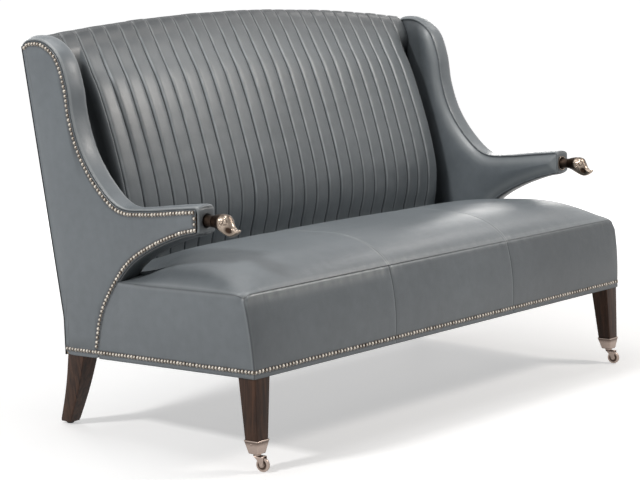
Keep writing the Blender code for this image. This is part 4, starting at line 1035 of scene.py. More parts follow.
# Outside back: one plain panel of the same hide from the crest down to the base, blind-tacked at its edges
# and a little full in the middle.
back_skin = 0.0003
edge_x = half_width - back_skin
side_steps = np.array([0, 0.0007, 0.002, 0.004, 0.007, 0.012, 0.020, 0.032])
wing_steps = arm_inner_x + np.array([-0.0010, 0.0010, 0.0030, 0.0055])
wing_step_in, wing_step_run, below_crest = 0.0010, 0.0045, 0.0353
back_round, back_round_in, back_full, back_slack, back_full_reach = 0.0040, 0.0035, 0.0035, 0.0010, 0.05
back_slack_reaches = (0.62, 0.37, 0.91)
back_edge_dark, back_edge_reach, back_wall, back_fill = 0.7, 0.0016, 0.0005, 0.5
panel_xs = np.concatenate([-edge_x + side_steps, -wing_steps[::-1], np.linspace(-0.745, 0.745, 72),
                           wing_steps, edge_x - side_steps[::-1]])
share_z = np.concatenate([side_steps / 0.8, np.linspace(0.055, 0.945, 48), 1 - side_steps[::-1] / 0.8])
behind_wing = ramp(np.abs(panel_xs) - arm_inner_x, wing_step_in, wing_step_run)
top_of_back = (1 - behind_wing) * (crest_z(panel_xs) - below_crest) + behind_wing * (corner_z - skin_gap)
out_z = base_underside_z + share_z[:, None] * (top_of_back - base_underside_z)[None]
out_x = np.broadcast_to(panel_xs, out_z.shape)
from_side = edge_x - np.abs(out_x)
from_top = top_of_back[None] - out_z
from_hem = out_z - base_underside_z
from_rim = np.minimum(np.minimum(from_side, from_top), from_hem)
full = (1 - fade(from_side, back_full_reach)) * ((1 - fade(from_top, back_full_reach))
                                                 * (1 - fade(from_hem, back_full_reach)))
slack = ripple(out_x + 0.5 * out_z, back_slack_reaches, dice.uniform(0, 2 * math.pi, 3))
sheet_y = back_plane_y(out_z) - back_skin - turned_under(from_rim, back_round, back_round_in)
sheet_y = sheet_y + (back_full + back_slack * slack) * full
# painted shade along the panel's turned edges
back_mesh = mesh_of("outside_back_leather", [{"grid": upright(np.stack([out_x, sheet_y, out_z], -1)),
                                              "darkening": back_edge_dark * fade(from_rim, back_edge_reach)}],
                    facing=(0, 1, 0))
outside = piece("outside_back_leather", back_mesh, blue_grey, ["outside_back"])
give_wall(outside, back_wall)


# Nail trim: round-headed upholstery nails set edge to edge, one line round each outside arm panel and one
# along the base on three sides. A painted highlight on the crowns, a painted reflection of the floor on the
# lower flanks, and a painted dark band of reflection, with old lacquer, brown round the rims.
nail_radius, nail_height, nail_pitch, nail_sides = 0.0057, 0.0034, 0.01245, 10
depth_crowding = 1.15
# rings of a head: share of the radius, share of the height; then each ring's darkening (a painted dark band
# of reflection with old lacquer), and the painted reflection and painted highlight taken off it on the head's
# lower and upper half
nail_rings = np.array([(1.0, -0.10), (1.0, 0.16), (0.90, 0.47), (0.70, 0.74), (0.42, 0.93)])
nail_ring_darkening = np.array([1.0, 1.0, 0.95, 0.98, 0.55])
nail_low_light = np.array([0, 0.15, 0.60, 0.15, -0.25])
nail_high_light = np.array([0, 0, 0.10, 0.30, 0.45])
nail_crown_darkening, nail_tone = 0.12, (-0.10, 0.12)
nail_tilt, nail_shift, nail_size = 0.045, 0.00022, (0.97, 1.03)
nail_bright, nail_brown, nail_rough = (0.80, 0.75, 0.67), (0.052, 0.036, 0.026), (0.20, 0.44)
nail_grime, grime_height, grime_share, grime_strength = 900, 0.0003, 0.5, 0.12
first_above_base = 0.9
side_row_y, seat_row_end, on_seat_in, on_panel_in = (0.0058, 0.6560), 0.53, 0.0002, 0.0012
front_row_x, front_row_y = 0.8145, 0.0004


def metal(name, bright, patina_and_shade, rough, grime_scale):
    """Cast or pressed metal: a point attribute, broken up by noise, mixes between the bright metal and the
    dark tone. Its values paint patina in hollows, and painted shade, highlights and reflections where set."""
    made, tree, shader = new_material(name)
    speck = noise(tree, object_place(tree), grime_scale, 4)
    patina_and_painted_light = wire(tree, "ShaderNodeAttribute", {"attribute_name": "patina_and_painted_light"})
    broken = number(tree, "MULTIPLY_ADD", speck.outputs["Fac"], grime_share, -grime_share / 2, clamp=True)
    stain = number(tree, "ADD", patina_and_painted_light.outputs["Fac"], broken, clamp=True)
    colour = blend(tree, stain, bright, patina_and_shade)
    roughness = ranged(tree, stain, To_Min=rough[0], To_Max=rough[1])
    bump = bumped(tree, speck.outputs["Fac"], grime_strength, grime_height)
    finish_shader(tree, shader, Base_Color=colour, Roughness=roughness, Normal=bump, Metallic=1.0)
    return made


nail_finish = metal("nail_old_nickel", nail_bright, nail_brown, nail_rough, nail_grime)


def nail_row(line, stretch=(depth_crowding, 1)):
    """Places of nails along a line of (y, z) or (x, z), set closer together from front to back."""
    return spaced(line * stretch, round(lengths_along(line * stretch)[-1] / nail_pitch) + 1) / stretch


def units(vectors):
    return vectors / np.linalg.norm(vectors, axis=1, keepdims=True)


def nail_heads(name, places, out, flat, nodes):
    """Dome heads at body places: out is each head's axis, flat a direction across it. Each is sized,
    shifted and tilted a little by the seeded dice, and has its own tone."""
    count = len(places)
    out = units(np.broadcast_to(out, (count, 3)) + dice.normal(0, nail_tilt, (count, 3)))
    flat = units(np.cross(np.cross(out, np.broadcast_to(flat, (count, 3))), out))
    third = np.cross(out, flat)
    places = places + dice.normal(0, nail_shift, (count, 3))
    angle = 2 * math.pi * np.arange(nail_sides) / nail_sides
    size = nail_radius * dice.uniform(*nail_size, count)[:, None, None]
    reach = nail_rings[None, :, :1] * size
    cos, sin = np.cos(angle)[None, None, :, None], np.sin(angle)[None, None, :, None]
    rings = (places[:, None, None] + reach[..., None] * cos * flat[:, None, None]
             + reach[..., None] * sin * third[:, None, None]
             + (nail_rings[None, :, 1:, None] * nail_height) * out[:, None, None])
    points = np.concatenate([rings.reshape(count, -1, 3), (places + nail_height * out)[:, None]], 1)
    per_nail = points.shape[1]
    quads = np.array(grid_faces(len(nail_rings), nail_sides, 0, False, True))
    ring_start = (len(nail_rings) - 1) * nail_sides
    step = np.arange(nail_sides)
    tips = np.stack([ring_start + step, ring_start + (step + 1) % nail_sides,
                     np.full(nail_sides, per_nail - 1)], 1)
    first = per_nail * np.arange(count)[:, None, None]
    faces = (quads[None] + first).reshape(-1, 4).tolist() + (tips[None] + first).reshape(-1, 3).tolist()
    faces += (first[:, 0] + step[None, ::-1]).tolist()
    mesh = bpy.data.meshes.new(name)
    mesh.from_pydata(upright(points.reshape(-1, 3)).tolist(), [], faces)
    # painted light on each head: lighter on the lower flank, a painted reflection of the floor, and on the
    # upper rings, a painted highlight
    upwards = (np.cos(angle)[None] * flat[:, 2:] + np.sin(angle)[None] * third[:, 2:])[:, None]
    patina_and_shade = nail_ring_darkening[None, :, None] - nail_low_light[None, :, None] * np.clip(-upwards, 0, 1)
    patina_and_shade = patina_and_shade - nail_high_light[None, :, None] * np.clip(upwards, 0, 1)
    patina_and_shade = np.concatenate([patina_and_shade.reshape(count, -1), np.full((count, 1), nail_crown_darkening)], 1)
    mark_layer(mesh, "patina_and_painted_light", patina_and_shade + dice.uniform(*nail_tone, count)[:, None])
    clean(mesh)
    piece(name, mesh, nail_finish, nodes)


def inset(line, gap):
    return line - gap * outward(line)


upper = inset(top_line, nail_inset)
upper = upper[(upper[:, 0] >= arm_front_y + nail_inset)
              & (upper[:, 0] <= back_plane_y(upper[:, 1]) - frame_back_inset - nail_inset)]
lower = inset(under_line, nail_inset)
lower = lower[(lower[:, 0] >= arm_front_y + nail_inset)
              & (lower[:, 1] >= base_nail_z + first_above_base * nail_pitch)]
front_edge = np.stack([np.full(2, arm_front_y + nail_inset), [upper[-1, 1], lower[0, 1]]], 1)
arm_rows = np.concatenate([nail_row(upper), nail_row(front_edge)[1:], nail_row(lower)[1:]])
side_row = nail_row(np.array([[y, base_nail_z] for y in side_row_y]))
for side, tag in ((-1, "left"), (1, "right")):
    nail_x = side * (half_width - skin_gap - nail_dent)
    places = np.concatenate([np.full((len(arm_rows), 1), nail_x), arm_rows], 1)
    nail_heads(f"arm_nail_heads_{tag}", places, (side, 0, 0), (0, 1, 0), [f"arm_nails_{tag}"])
    on_seat = np.where(side_row[:, 0] < seat_row_end, seat_side_x - on_seat_in, half_width - on_panel_in)
    places = np.concatenate([side * on_seat[:, None], side_row], 1)
    nail_heads(f"base_nail_heads_{tag}", places, (side, 0, 0), (0, 1, 0), [f"base_nails_{tag}"])
front_row = nail_row(np.array([[-front_row_x, base_nail_z], [front_row_x, base_nail_z]]), (1, 1))
places = np.stack([front_row[:, 0], np.full(len(front_row), front_row_y), front_row[:, 1]], 1)
nail_heads("base_nail_heads_front", places, (0, -1, 0), (1, 0, 0), ["base_nails_front"])


# Finials: a plain bird's head, cast and plated in antique nickel, on a dark bronze neck that goes through
# the socket into the arm frame. Brow, eye, cheek feathers, and a dished bill with a raised tip.
neck_joint_y = 0.143
head_length, head_height, head_half_width = 0.0805, 0.055, 0.019
# the head's outline: share of the length, top and low as shares of the height, share of the half width
head_shares = np.array([
    (0.0, 0.273, -0.273, 0.700), (0.06, 0.300, -0.310, 0.72), (0.161, 0.335, -0.365, 0.800),
    (0.311, 0.364, -0.480, 0.98), (0.460, 0.360, -0.582, 1.01), (0.540, 0.335, -0.625, 0.98),
    (0.609, 0.280, -0.650, 0.90), (0.660, 0.185, -0.655, 0.82), (0.708, 0.045, -0.650, 0.75),
    (0.760, -0.110, -0.630, 0.70), (0.820, -0.210, -0.600, 0.66), (0.882, -0.262, -0.555, 0.62),
    (0.955, -0.290, -0.480, 0.540), (1.0, -0.310, -0.395, 0.330)])
head_rings, head_sides, skull_rings, skull_share = 150, 120, 104, 0.8
# marks on both cheeks: share of the length, share of the height, radius, and how far they stand out
head_marks = {"eye": (0.590, 0.44, 0.0036, 0.0030), "brow": (0.575, 0.80, 0.0058, 0.0016),
              "cheek": (0.385, 0.42, 0.0062, 0.0016), "jowl": (0.40, -0.30, 0.0110, 0.0010),
              "hollow": (0.690, -0.18, 0.0100, -0.0046), "curl": (0.470, 0.20, 0.0016, 0.0009)}
eye_ring_marks, curl_ring_marks = (0.0056, 0.0012, 0.0010), (0.0033, 0.0010, 0.0009)
feather_place, feather_reach, feather_pitch, feather_rise = 0.0185, 0.0060, 0.0036, 0.00040
mouth_depth, dish_depth, thinnest = 0.0003, 0.0022, 0.0001
tip_closing, rear_closing = ((0.86, 0.0006), (0.55, 0.0011), (0.0, 0.0013)), (0.0, 0.9)
# radius and place from front to back
neck_profile = [(0, 0.2150), (0.0074, 0.2150), (0.0074, 0.1832), (0.0149, 0.1830), (0.0150, 0.1710),
                (0.01465, 0.166), (0.0143, 0.158), (0.0143, 0.152), (0.0147, 0.1465), (0.0150, 0.1434),
                (0, 0.1434)]
ring_profile = [(0.0182, 0.1707), (0.0216, 0.1707), (0.0217, 0.1695), (0.0213, 0.1685), (0.0204, 0.1678),
                (0.0194, 0.1678), (0.0186, 0.1684), (0.0182, 0.1695)]
neck_sides, ring_sides, neck_split = 56, 72, 50
neck_shade = (0.143, 0.147, 0.160, 0.171), (0.9, 0.25, 0.1, 0.8)
ring_shade = (0.0182, 0.0190, 0.0208, 0.0217), (1.0, 0.35, 0.55, 1.0)
# metals: bright tone, dark tone of patina and painted shade, roughness of both, scale of the grime
bronze_look = (0.090, 0.062, 0.047), (0.018, 0.012, 0.009), (0.34, 0.55), 260
nickel_look = (0.40, 0.33, 0.27), (0.036, 0.022, 0.015), (0.17, 0.34), 420
neck_bronze = metal("dark_bronze_neck", *bronze_look)
antique_nickel = metal("antique_nickel", *nickel_look)


def solid_from(name, grid, patina_and_painted_light=0, wrap=(False, True), caps=None, place=upright, split=None):
    """A closed mesh from one grid, with the values of patina and painted light that the metal reads."""
    patch = {"grid": place(np.asarray(grid, float)), "wrap": wrap, "caps": caps, "darkening": patina_and_painted_light}
    return mesh_of(name, [patch], split=split, darkening_name="patina_and_painted_light")


def turned(profile, sides, axis, centre):
    """Grid of a turned form: profile of (radius, place along the axis), axis 0, 1 or 2."""
    angle = 2 * math.pi * np.arange(sides) / sides
    profile = np.asarray(profile, float)
    others = [k for k in range(3) if k != axis]
    grid = np.zeros((len(profile), sides, 3))
    grid[..., axis] = profile[:, 1:]
    grid[..., others[0]] = profile[:, :1] * np.cos(angle)
    grid[..., others[1]] = profile[:, :1] * np.sin(angle)
    return grid + np.asarray(centre, float)


along_head = np.concatenate([np.linspace(0, skull_share, skull_rings, endpoint=False),
                             np.linspace(skull_share, 1, head_rings - skull_rings)])
shape = curve_through(head_shares, 12)
top_share, low_share, wide_share = (np.interp(along_head, shape[:, 0], shape[:, k]) for k in (1, 2, 3))
theta = 2 * math.pi * np.arange(head_sides) / head_sides
middle = head_height * (top_share + low_share) / 2
half_tall = head_height * (top_share - low_share) / 2
half_wide = head_half_width * wide_share
across_head = half_wide[:, None] * np.cos(theta)
up_head = half_tall[:, None] * np.sin(theta)
from_neck = head_length * along_head
down_axis = -from_neck[:, None] * np.ones(head_sides)
spot = np.stack([np.abs(across_head), down_axis, up_head + middle[:, None]], -1)
gaps, marks, swell_out = {}, {}, 0
for name, (along_share, height_share, radius, stand) in head_marks.items():
    row = np.argmin(np.abs(along_head - along_share))
    centre = np.array([half_wide[row] * math.sqrt(1 - height_share ** 2), -from_neck[row],
                       middle[row] + half_tall[row] * height_share])
    gaps[name] = np.linalg.norm(spot - centre, axis=-1)
    marks[name] = bell(gaps[name], radius)
    swell_out = swell_out + stand * marks[name]
place, reach, eye_ring_in = eye_ring_marks
eye_ring = bell(gaps["eye"] - place, reach)
place, reach, curl_ring_in = curl_ring_marks
curl_ring = bell(gaps["curl"] - place, reach)
share = along_head[:, None]
feathers = np.sin(2 * math.pi * gaps["eye"] / feather_pitch) * (
    bell(gaps["eye"] - feather_place, feather_reach) * (share < 0.50))
mouth = np.exp(-(np.sin(theta)[None] + 0.12) ** 2 / 0.012) * ramp(share, 0.60, 0.08)
swell_out = (swell_out - eye_ring_in * eye_ring - curl_ring_in * curl_ring + feather_rise * feathers
             - mouth_depth * mouth)
dish = bell(np.cos(theta)[None], 0.55) * (np.sin(theta)[None] > 0) * bell(share - 0.885, 0.075)
outer = np.stack([across_head / half_wide[:, None], up_head / np.maximum(half_tall[:, None], thinnest)], -1)
outer = outer / np.maximum(np.linalg.norm(outer, axis=-1, keepdims=True), tiny)
across_head = across_head + outer[..., 0] * swell_out
up_head = up_head + outer[..., 1] * swell_out - dish_depth * dish
head_grid = np.stack([across_head, neck_joint_y + down_axis, up_head + middle[:, None] + socket_z], -1)
tip = head_grid[-1]
closing = [tip.mean(0) + (tip - tip.mean(0)) * s - [0, e, 0] for s, e in tip_closing]
rear_centre = np.array([0, neck_joint_y, socket_z])
opening = [rear_centre + (head_grid[0] - rear_centre) * s for s in rear_closing]
head_grid = np.concatenate([opening, head_grid, closing])
nape = ramp(share, 0.37, -0.10)
topside = np.clip(np.sin(theta)[None] * 1.6 - 0.75, 0, 1) * ramp(share, 0.80, -0.12)
# dark patina in the hollow, the eye and curl rings, the feather grooves, the mouth, the nape and the top; the
# eye, cheek, brow and bill tip lighter: worn plating on raised points with a painted highlight
patina_and_shade = (1.15 * np.minimum(1, 1.25 * marks["hollow"]) + 0.85 * eye_ring + 0.8 * curl_ring
        + 0.45 * np.clip(-feathers, 0, 1) + 0.3 * mouth + 0.95 * nape + 0.80 * topside
        - 1.1 * marks["eye"] - 0.7 * marks["cheek"]
        - 0.8 * marks["brow"] * (np.sin(theta)[None] < 0.9) + 0.10)
patina_and_shade = np.concatenate([np.ones((len(opening), head_sides)), patina_and_shade, np.zeros((len(closing), head_sides))])
for side, tag in ((-1, "left"), (1, "right")):
    mesh = solid_from(f"bird_head_{tag}", head_grid + np.array([side * socket_x, 0, 0]), patina_and_shade)
    piece(f"bird_head_{tag}", mesh, antique_nickel, [f"finial_head_{tag}"])
    grid = turned(neck_profile, neck_sides, 1, (side * socket_x, 0, socket_z))
    mesh = solid_from(f"bird_neck_{tag}", grid, np.interp(grid[..., 1], *neck_shade), split=neck_split)
    piece(f"bird_neck_{tag}", mesh, neck_bronze, [f"finial_neck_{tag}"])
    grid = turned(ring_profile, ring_sides, 1, (side * socket_x, 0, socket_z))
    from_axis = np.hypot(grid[..., 0] - side * socket_x, grid[..., 2] - socket_z)
    mesh = solid_from(f"nickel_ring_{tag}", grid, np.interp(from_axis, *ring_shade), wrap=(True, True))
    piece(f"nickel_ring_{tag}", mesh, antique_nickel, [f"socket_ring_{tag}"])


# Legs: square walnut, dark stained, with the sharp arrises just eased. The front ones taper on their inner
# faces and stand in caster cups, the rear ones are raked back.
leg_outer_x, leg_front_y, leg_top_z, leg_foot_z = 0.8152, 0.0034, 0.2347, 0.0503
front_leg_foot, front_leg_top = 0.038, 0.055
cup_top_z, cup_low_z, cup_taper, cup_rim = 0.080, 0.046, 0.0105, 0.004
foot_trims, foot_trim, trim_top, leg_steps = (0.0004, 0.0014), 0.0010, 0.054, 24
# the middle of the rear foot, y and z in the frame, and the same place before the settee is leaned back
foot_frame_y, foot_frame_z = 0.30488, 0.0065
rear_foot_y = (foot_frame_y - frame_shift_y) * math.cos(recline) - foot_frame_z * math.sin(recline)
rear_foot_z = (foot_frame_y - frame_shift_y) * math.sin(recline) + foot_frame_z * math.cos(recline)
rear_foot_side, rear_foot_trim = 0.036, 0.0008
rear_foot_x, rear_top_x, rear_top_y, rear_top_wide, rear_top_deep = 0.767, 0.7887, 0.6287, 0.053, 0.060
knee_bow, arris, leg_split, rear_steps = 0.005, 0.0022, 40, 26
figure_stretch, figure_scale, pore_stretch, pore_size = 0.09, 95, 0.035, 900
pore_tone, pore_height, pore_strength, rough_swing = (0.006, 0.004, 0.003), 0.0002, 0.25, 0.05
wood_coat, wood_coat_rough, wood_specular = 0.05, 0.20, 0.20
walnut_dark, walnut_light, walnut_rough = (0.024, 0.0105, 0.0058), (0.084, 0.039, 0.022), 0.42


def stained_wood(name, dark, light, roughness):
    """Straight-grained wood: long stretched noise along z for the figure, fine pores over it."""
    made, tree, shader = new_material(name)
    place = object_place(tree)
    long = wire(tree, "ShaderNodeMapping", None, {"Vector": place, "Scale": (1, 1, figure_stretch)})
    figure = noise(tree, long.outputs["Vector"], figure_scale, 6, Distortion=0.6)
    pore_map = wire(tree, "ShaderNodeMapping", None, {"Vector": place, "Scale": (1, 1, pore_stretch)})
    pores = noise(tree, pore_map.outputs["Vector"], pore_size, 3)
    spread = ranged(tree, figure.outputs["Fac"], From_Min=0.34, From_Max=0.66)
    stain = blend(tree, spread, dark, light)
    gaps = ranged(tree, pores.outputs["Fac"], From_Min=0.30, From_Max=0.46, To_Min=0.6, To_Max=0)
    filled = blend(tree, gaps, stain, pore_tone)
    gloss = ranged(tree, figure.outputs["Fac"], To_Min=roughness - rough_swing,
                   To_Max=roughness + rough_swing)
    bump = bumped(tree, pores.outputs["Fac"], pore_strength, pore_height)
    finish_shader(tree, shader, Base_Color=filled, Roughness=gloss, Normal=bump, Coat_Weight=wood_coat,
                  Coat_Roughness=wood_coat_rough, Specular_IOR_Level=wood_specular)
    return made


walnut = stained_wood("dark_walnut", walnut_dark, walnut_light, walnut_rough)


def eased_square(x_low, x_high, y_low, y_high, z, radius, per_corner=6):
    """Ring of points round a rectangle with eased corners, always the same number of them."""
    angle = np.linspace(0, math.pi / 2, per_corner)
    quarter = np.stack([np.cos(angle), np.sin(angle)], 1) * radius
    ring = []
    for x, y, c, s in ((x_high - radius, y_high - radius, 1, 0), (x_low + radius, y_high - radius, 0, 1),
                       (x_low + radius, y_low + radius, -1, 0), (x_high - radius, y_low + radius, 0, -1)):
        ring.append(np.stack([x + c * quarter[:, 0] - s * quarter[:, 1],
                              y + s * quarter[:, 0] + c * quarter[:, 1]], 1))
    ring = np.concatenate(ring)
    return np.concatenate([ring, np.broadcast_to(z, (len(ring), 1))], 1)


def leg_side(z):
    return front_leg_foot + (front_leg_top - front_leg_foot) * (z - leg_foot_z) / (leg_top_z - leg_foot_z)


def foot_taper(z):
    """How far the square stands in on each side, below the cup's rim."""
    return cup_taper / 2 * np.clip((cup_top_z - cup_rim - z) / (cup_top_z - cup_low_z - cup_rim), 0, 1)


def leg_section(side, z, grow, radius):
    width = leg_side(z)
    drawn = foot_taper(z)
    x_far, x_near = side * (leg_outer_x - width - grow + drawn), side * (leg_outer_x + grow - drawn)
    return eased_square(min(x_far, x_near), max(x_far, x_near), leg_front_y - grow + drawn,
                        leg_front_y + width + grow - drawn, z, radius)


def wooden_leg(name, rings, node):
    piece(name, solid_from(name, rings, caps="rows", split=leg_split), walnut, [node])


for side, tag in ((-1, "left"), (1, "right")):
    heights = [leg_foot_z + trim for trim in foot_trims]
    heights += np.linspace(trim_top, leg_top_z, leg_steps).tolist()
    rings = [leg_section(side, z, 0 if k else -foot_trim, arris) for k, z in enumerate(heights)]
    wooden_leg(f"front_leg_walnut_{tag}", rings, f"front_leg_{tag}")
    rings = []
    for rise in np.linspace(0, 1, rear_steps):
        wide = rear_foot_side + (rear_top_wide - rear_foot_side) * rise
        deep = rear_foot_side + (rear_top_deep - rear_foot_side) * rise
        x = side * (rear_foot_x + (rear_top_x - rear_foot_x) * rise)
        y = rear_foot_y + (rear_top_y - rear_foot_y) * rise - knee_bow * math.sin(math.pi * rise)
        z = rear_foot_z + (leg_top_z - rear_foot_z) * rise
        half_x, half_y = (side_length / 2 - (0 if rise else rear_foot_trim) for side_length in (wide, deep))
        ring = eased_square(x - half_x, x + half_x, y - half_y, y + half_y, z, arris)
        ring[:, 2] += (ring[:, 1] - y) * math.tan(recline) * (1 - rise)
        rings.append(ring)
    wooden_leg(f"rear_leg_walnut_{tag}", rings, f"rear_leg_{tag}")


# Caster cups, screws, forks, wheels and axles: nickel-plated brass gone slightly pink. The cup is a tapered
# socket with a rolled rim, screwed to the leg; the horned fork swivels under it and trails a solid wheel.
caster_look = (0.43, 0.345, 0.300), (0.060, 0.040, 0.030), (0.30, 0.5), 300
caster_nickel = metal("worn_caster_nickel", *caster_look)
cup_wall, cup_bore, cup_lip_in, cup_floor_z, cup_low_ease = 0.002, 0.0046, 0.0012, 0.0500, 0.0030
# the cup's outside, rim and inside: height, growth past the leg and the wall, easing of the corners
cup_split = 38
cup_walls = ((cup_low_z + 0.0005, -0.0003, 0.0033), (cup_low_z + 0.0016, 0, 0.0036),
             (cup_low_z + 0.010, 0, 0.0036), (cup_low_z + 0.020, 0, 0.0034), (0.0748, 0, 0.0032),
             (0.0766, 0.0001, 0.0033), (0.0771, 0.0007, 0.0035), (0.0780, 0.0010, 0.0037),
             (0.0790, 0.0009, 0.0037), (0.0797, 0.0004, 0.0034), (cup_top_z, -0.0004, 0.0030),
             (0.0798, -0.0012, 0.0026), (0.0790, -0.0017, 0.0024), (0.0740, -0.0018, 0.0024),
             (0.0600, -0.0018, 0.0024), (0.0506, -0.0018, 0.0024))
screw_z, screw_place_share, screw_sides = 0.0695, 0.52, 26
# turned forms: radius and place along the axis, then the dirt on each ring
screw_profile = [(0, 0.0075), (0.0013, 0.0075), (0.0013, 0.0004), (0.0031, 0.0002), (0.0031, -0.0002),
                 (0.0027, -0.0008), (0.0016, -0.0011), (0.0009, -0.0011), (0.0007, -0.0005), (0, -0.0004)]
screw_shade = (1, 1, 1, 0.9, 0.5, 0.15, 0.2, 0.6, 1, 1)
wheel_radius, cheek_middle, cheek_half, cheek_ease = 0.018, 0.0088, 0.0010, 0.00045
swivel_x, swivel_y, trail, trail_angle = 0.7962, -0.38650, 0.0165, math.radians(-78)
bridge_z, bridge_bend, horn_half, bridge_rear, caster_split = 0.0395, 0.0038, 0.0055, 0.0078, 40
horn_end, horn_thinnest, horn_dirt = 0.0056, 0.0004, 0.12
boss_profile = [(0, bridge_z - 0.0006), (0.0086, bridge_z - 0.0006), (0.0098, bridge_z + 0.0006),
                (0.0100, bridge_z + 0.0030), (0.0094, bridge_z + 0.0042), (0.0060, bridge_z + 0.00455),
                (0.0040, bridge_z + 0.0046), (0.0040, 0.0482), (0, 0.0482)]
boss_shade, boss_sides = (1, 0.8, 0.3, 0.1, 0.3, 0.9, 1, 1, 1), 44
half_axle = [(0, -0.0106), (0.0016, -0.0105), (0.0030, -0.0101), (0.0032, -0.0099), (0.0025, -0.0098)]
half_wheel = [(0.0028, 0.0068), (0.0052, 0.0070), (0.0062, 0.0066), (0.0070, 0.0056), (0.0110, 0.0052),
              (0.0122, 0.0058), (0.0132, 0.0062), (0.0148, 0.0059), (0.0164, 0.0048), (0.0175, 0.0031),
              (0.0180, 0.0012)]
half_axle_shade, axle_sides = [0, 0, 0.2, 0.9, 1], 28
half_wheel_shade, wheel_sides = [0.9, 0.3, 0.3, 1.0, 0.9, 0.5, 0.1, 0.0, 0.0, 0.1, 0.2], 64


def mirrored(half):
    return half + [(radius, -place) for radius, place in half[::-1]]


def turned_piece(name, profile, shade, sides, axis, centre, node, body="settee", **more):
    grid = turned(profile, sides, axis, centre)
    patina_and_shade = np.broadcast_to(np.array(shade)[:, None], grid.shape[:2])
    piece(name, solid_from(name, grid, patina_and_shade, **more), caster_nickel, [node], body=body)


def circle_ring(centre_x, centre_y, z, radius, like):
    """A ring of points on a circle, one for each point of another ring, in the same directions."""
    angle = np.arctan2(like[:, 1] - centre_y, like[:, 0] - centre_x)
    return np.stack([centre_x + radius * np.cos(angle), centre_y + radius * np.sin(angle),
                     np.full(len(angle), z)], 1)


for side, tag in ((-1, "left"), (1, "right")):
    centre_x, centre_y = side * (leg_outer_x - front_leg_foot / 2), leg_front_y + front_leg_foot / 2
    low = leg_section(side, cup_low_z, cup_wall - cup_lip_in, cup_low_ease)
    rings = [circle_ring(centre_x, centre_y, cup_low_z, cup_bore, low), low]
    rings += [leg_section(side, z, cup_wall + grow, radius) for z, grow, radius in cup_walls]
    rings = np.stack(rings + [circle_ring(centre_x, centre_y, cup_floor_z, cup_bore, low)])
    shade = np.full(rings.shape[:2], 0.06)
    shade[[0, 1, 2, 14, 15, 16, 17, 18]] = 0.85
    shade[[6, 7]] = 0.75
    mesh = solid_from(f"caster_cup_nickel_{tag}", rings, shade, wrap=(True, True), split=cup_split)
    piece(f"caster_cup_nickel_{tag}", mesh, caster_nickel, [f"caster_cup_{tag}"])
    face_x = -1 * (leg_outer_x + cup_wall - foot_taper(screw_z)) if side < 0 else (
        leg_outer_x - leg_side(screw_z) - cup_wall + foot_taper(screw_z))
    screw_y = leg_front_y + leg_side(screw_z) * screw_place_share
    turned_piece(f"cup_screw_nickel_{tag}", screw_profile, screw_shade, screw_sides, 0,
                 (face_x, screw_y, screw_z), f"cup_screw_{tag}")

# horned fork: a strap bent over the wheel, wide at the bridge and rounded at the axle
corner = np.linspace(0, math.pi / 2, 7)[1:]
rise = np.concatenate([wheel_radius - horn_end + horn_end * (1 - np.cos(np.linspace(0, math.pi / 2, 8))),
                       np.linspace(wheel_radius, bridge_z - bridge_bend, 9)[1:]])
half_path = np.array([(-cheek_middle, z) for z in rise]
                     + [(-cheek_middle + bridge_bend * (1 - math.cos(a)),
                         bridge_z - bridge_bend + bridge_bend * math.sin(a)) for a in corner])
path_line = np.concatenate([half_path, half_path[::-1] * [-1, 1]])
step_line = units(np.gradient(path_line, axis=0))
normal_line = np.stack([-step_line[:, 1], step_line[:, 0]], 1)
climb = ramp(path_line[:, 1], wheel_radius, bridge_z - wheel_radius)
below_axle = (wheel_radius - path_line[:, 1]).clip(0) / horn_end
round_end = horn_half * np.sqrt(np.clip(1 - below_axle ** 2, horn_thinnest, 1))
x_rear = trail - round_end - (trail - horn_half + bridge_rear) * climb ** 1.6
# the strap's section: end of its width, face, and whether the corner's point on the face comes first
section = ((0, -1, False), (1, -1, True), (1, 1, False), (0, 1, True))
strap = []
for place, normal, *span in zip(path_line, normal_line, x_rear, trail + round_end):
    ring = []
    for end, face, face_first in section:
        on_face = (span[end] + (-cheek_ease if end else cheek_ease), face * cheek_half)
        on_end = (span[end], face * (cheek_half - cheek_ease))
        ring += [on_face, on_end] if face_first else [on_end, on_face]
    strap.append([(x, *(place + out * normal)) for x, out in ring])
strap = np.array(strap)
boss_grid = turned(boss_profile, boss_sides, 2, (0, 0, 0))
for side, tag in ((-1, "left"), (1, "right")):
    def around_pin(points, side=side):
        """From the caster's own frame, x along its trail and z up from the floor, to the settee's."""
        x, y, z = np.moveaxis(np.asarray(points, float), -1, 0)
        c, s = math.cos(trail_angle), math.sin(trail_angle)
        return np.stack([side * swivel_x + c * x - s * y, swivel_y + s * x + c * y, z], -1)

    fork_mesh = mesh_of(f"caster_horn_{tag}", [
        {"grid": around_pin(strap), "wrap": (False, True), "caps": "rows", "darkening": horn_dirt},
        {"grid": around_pin(boss_grid), "wrap": (False, True), "darkening": np.array(boss_shade)[:, None]}],
        split=caster_split, darkening_name="patina_and_painted_light")
    piece(f"caster_horn_{tag}", fork_mesh, caster_nickel, [f"caster_fork_{tag}"],
          body=f"caster_{tag}")
    hub = (trail, 0, wheel_radius)
    turned_piece(f"caster_pin_{tag}", mirrored(half_axle), half_axle_shade + half_axle_shade[::-1],
                 axle_sides, 1, hub, f"caster_axle_{tag}", f"caster_{tag}", place=around_pin)
    turned_piece(f"caster_roller_{tag}", mirrored(half_wheel), half_wheel_shade + half_wheel_shade[::-1],
                 wheel_sides, 1, hub, f"caster_wheel_{tag}", f"wheel_{tag}", wrap=(True, True),
                 place=around_pin)


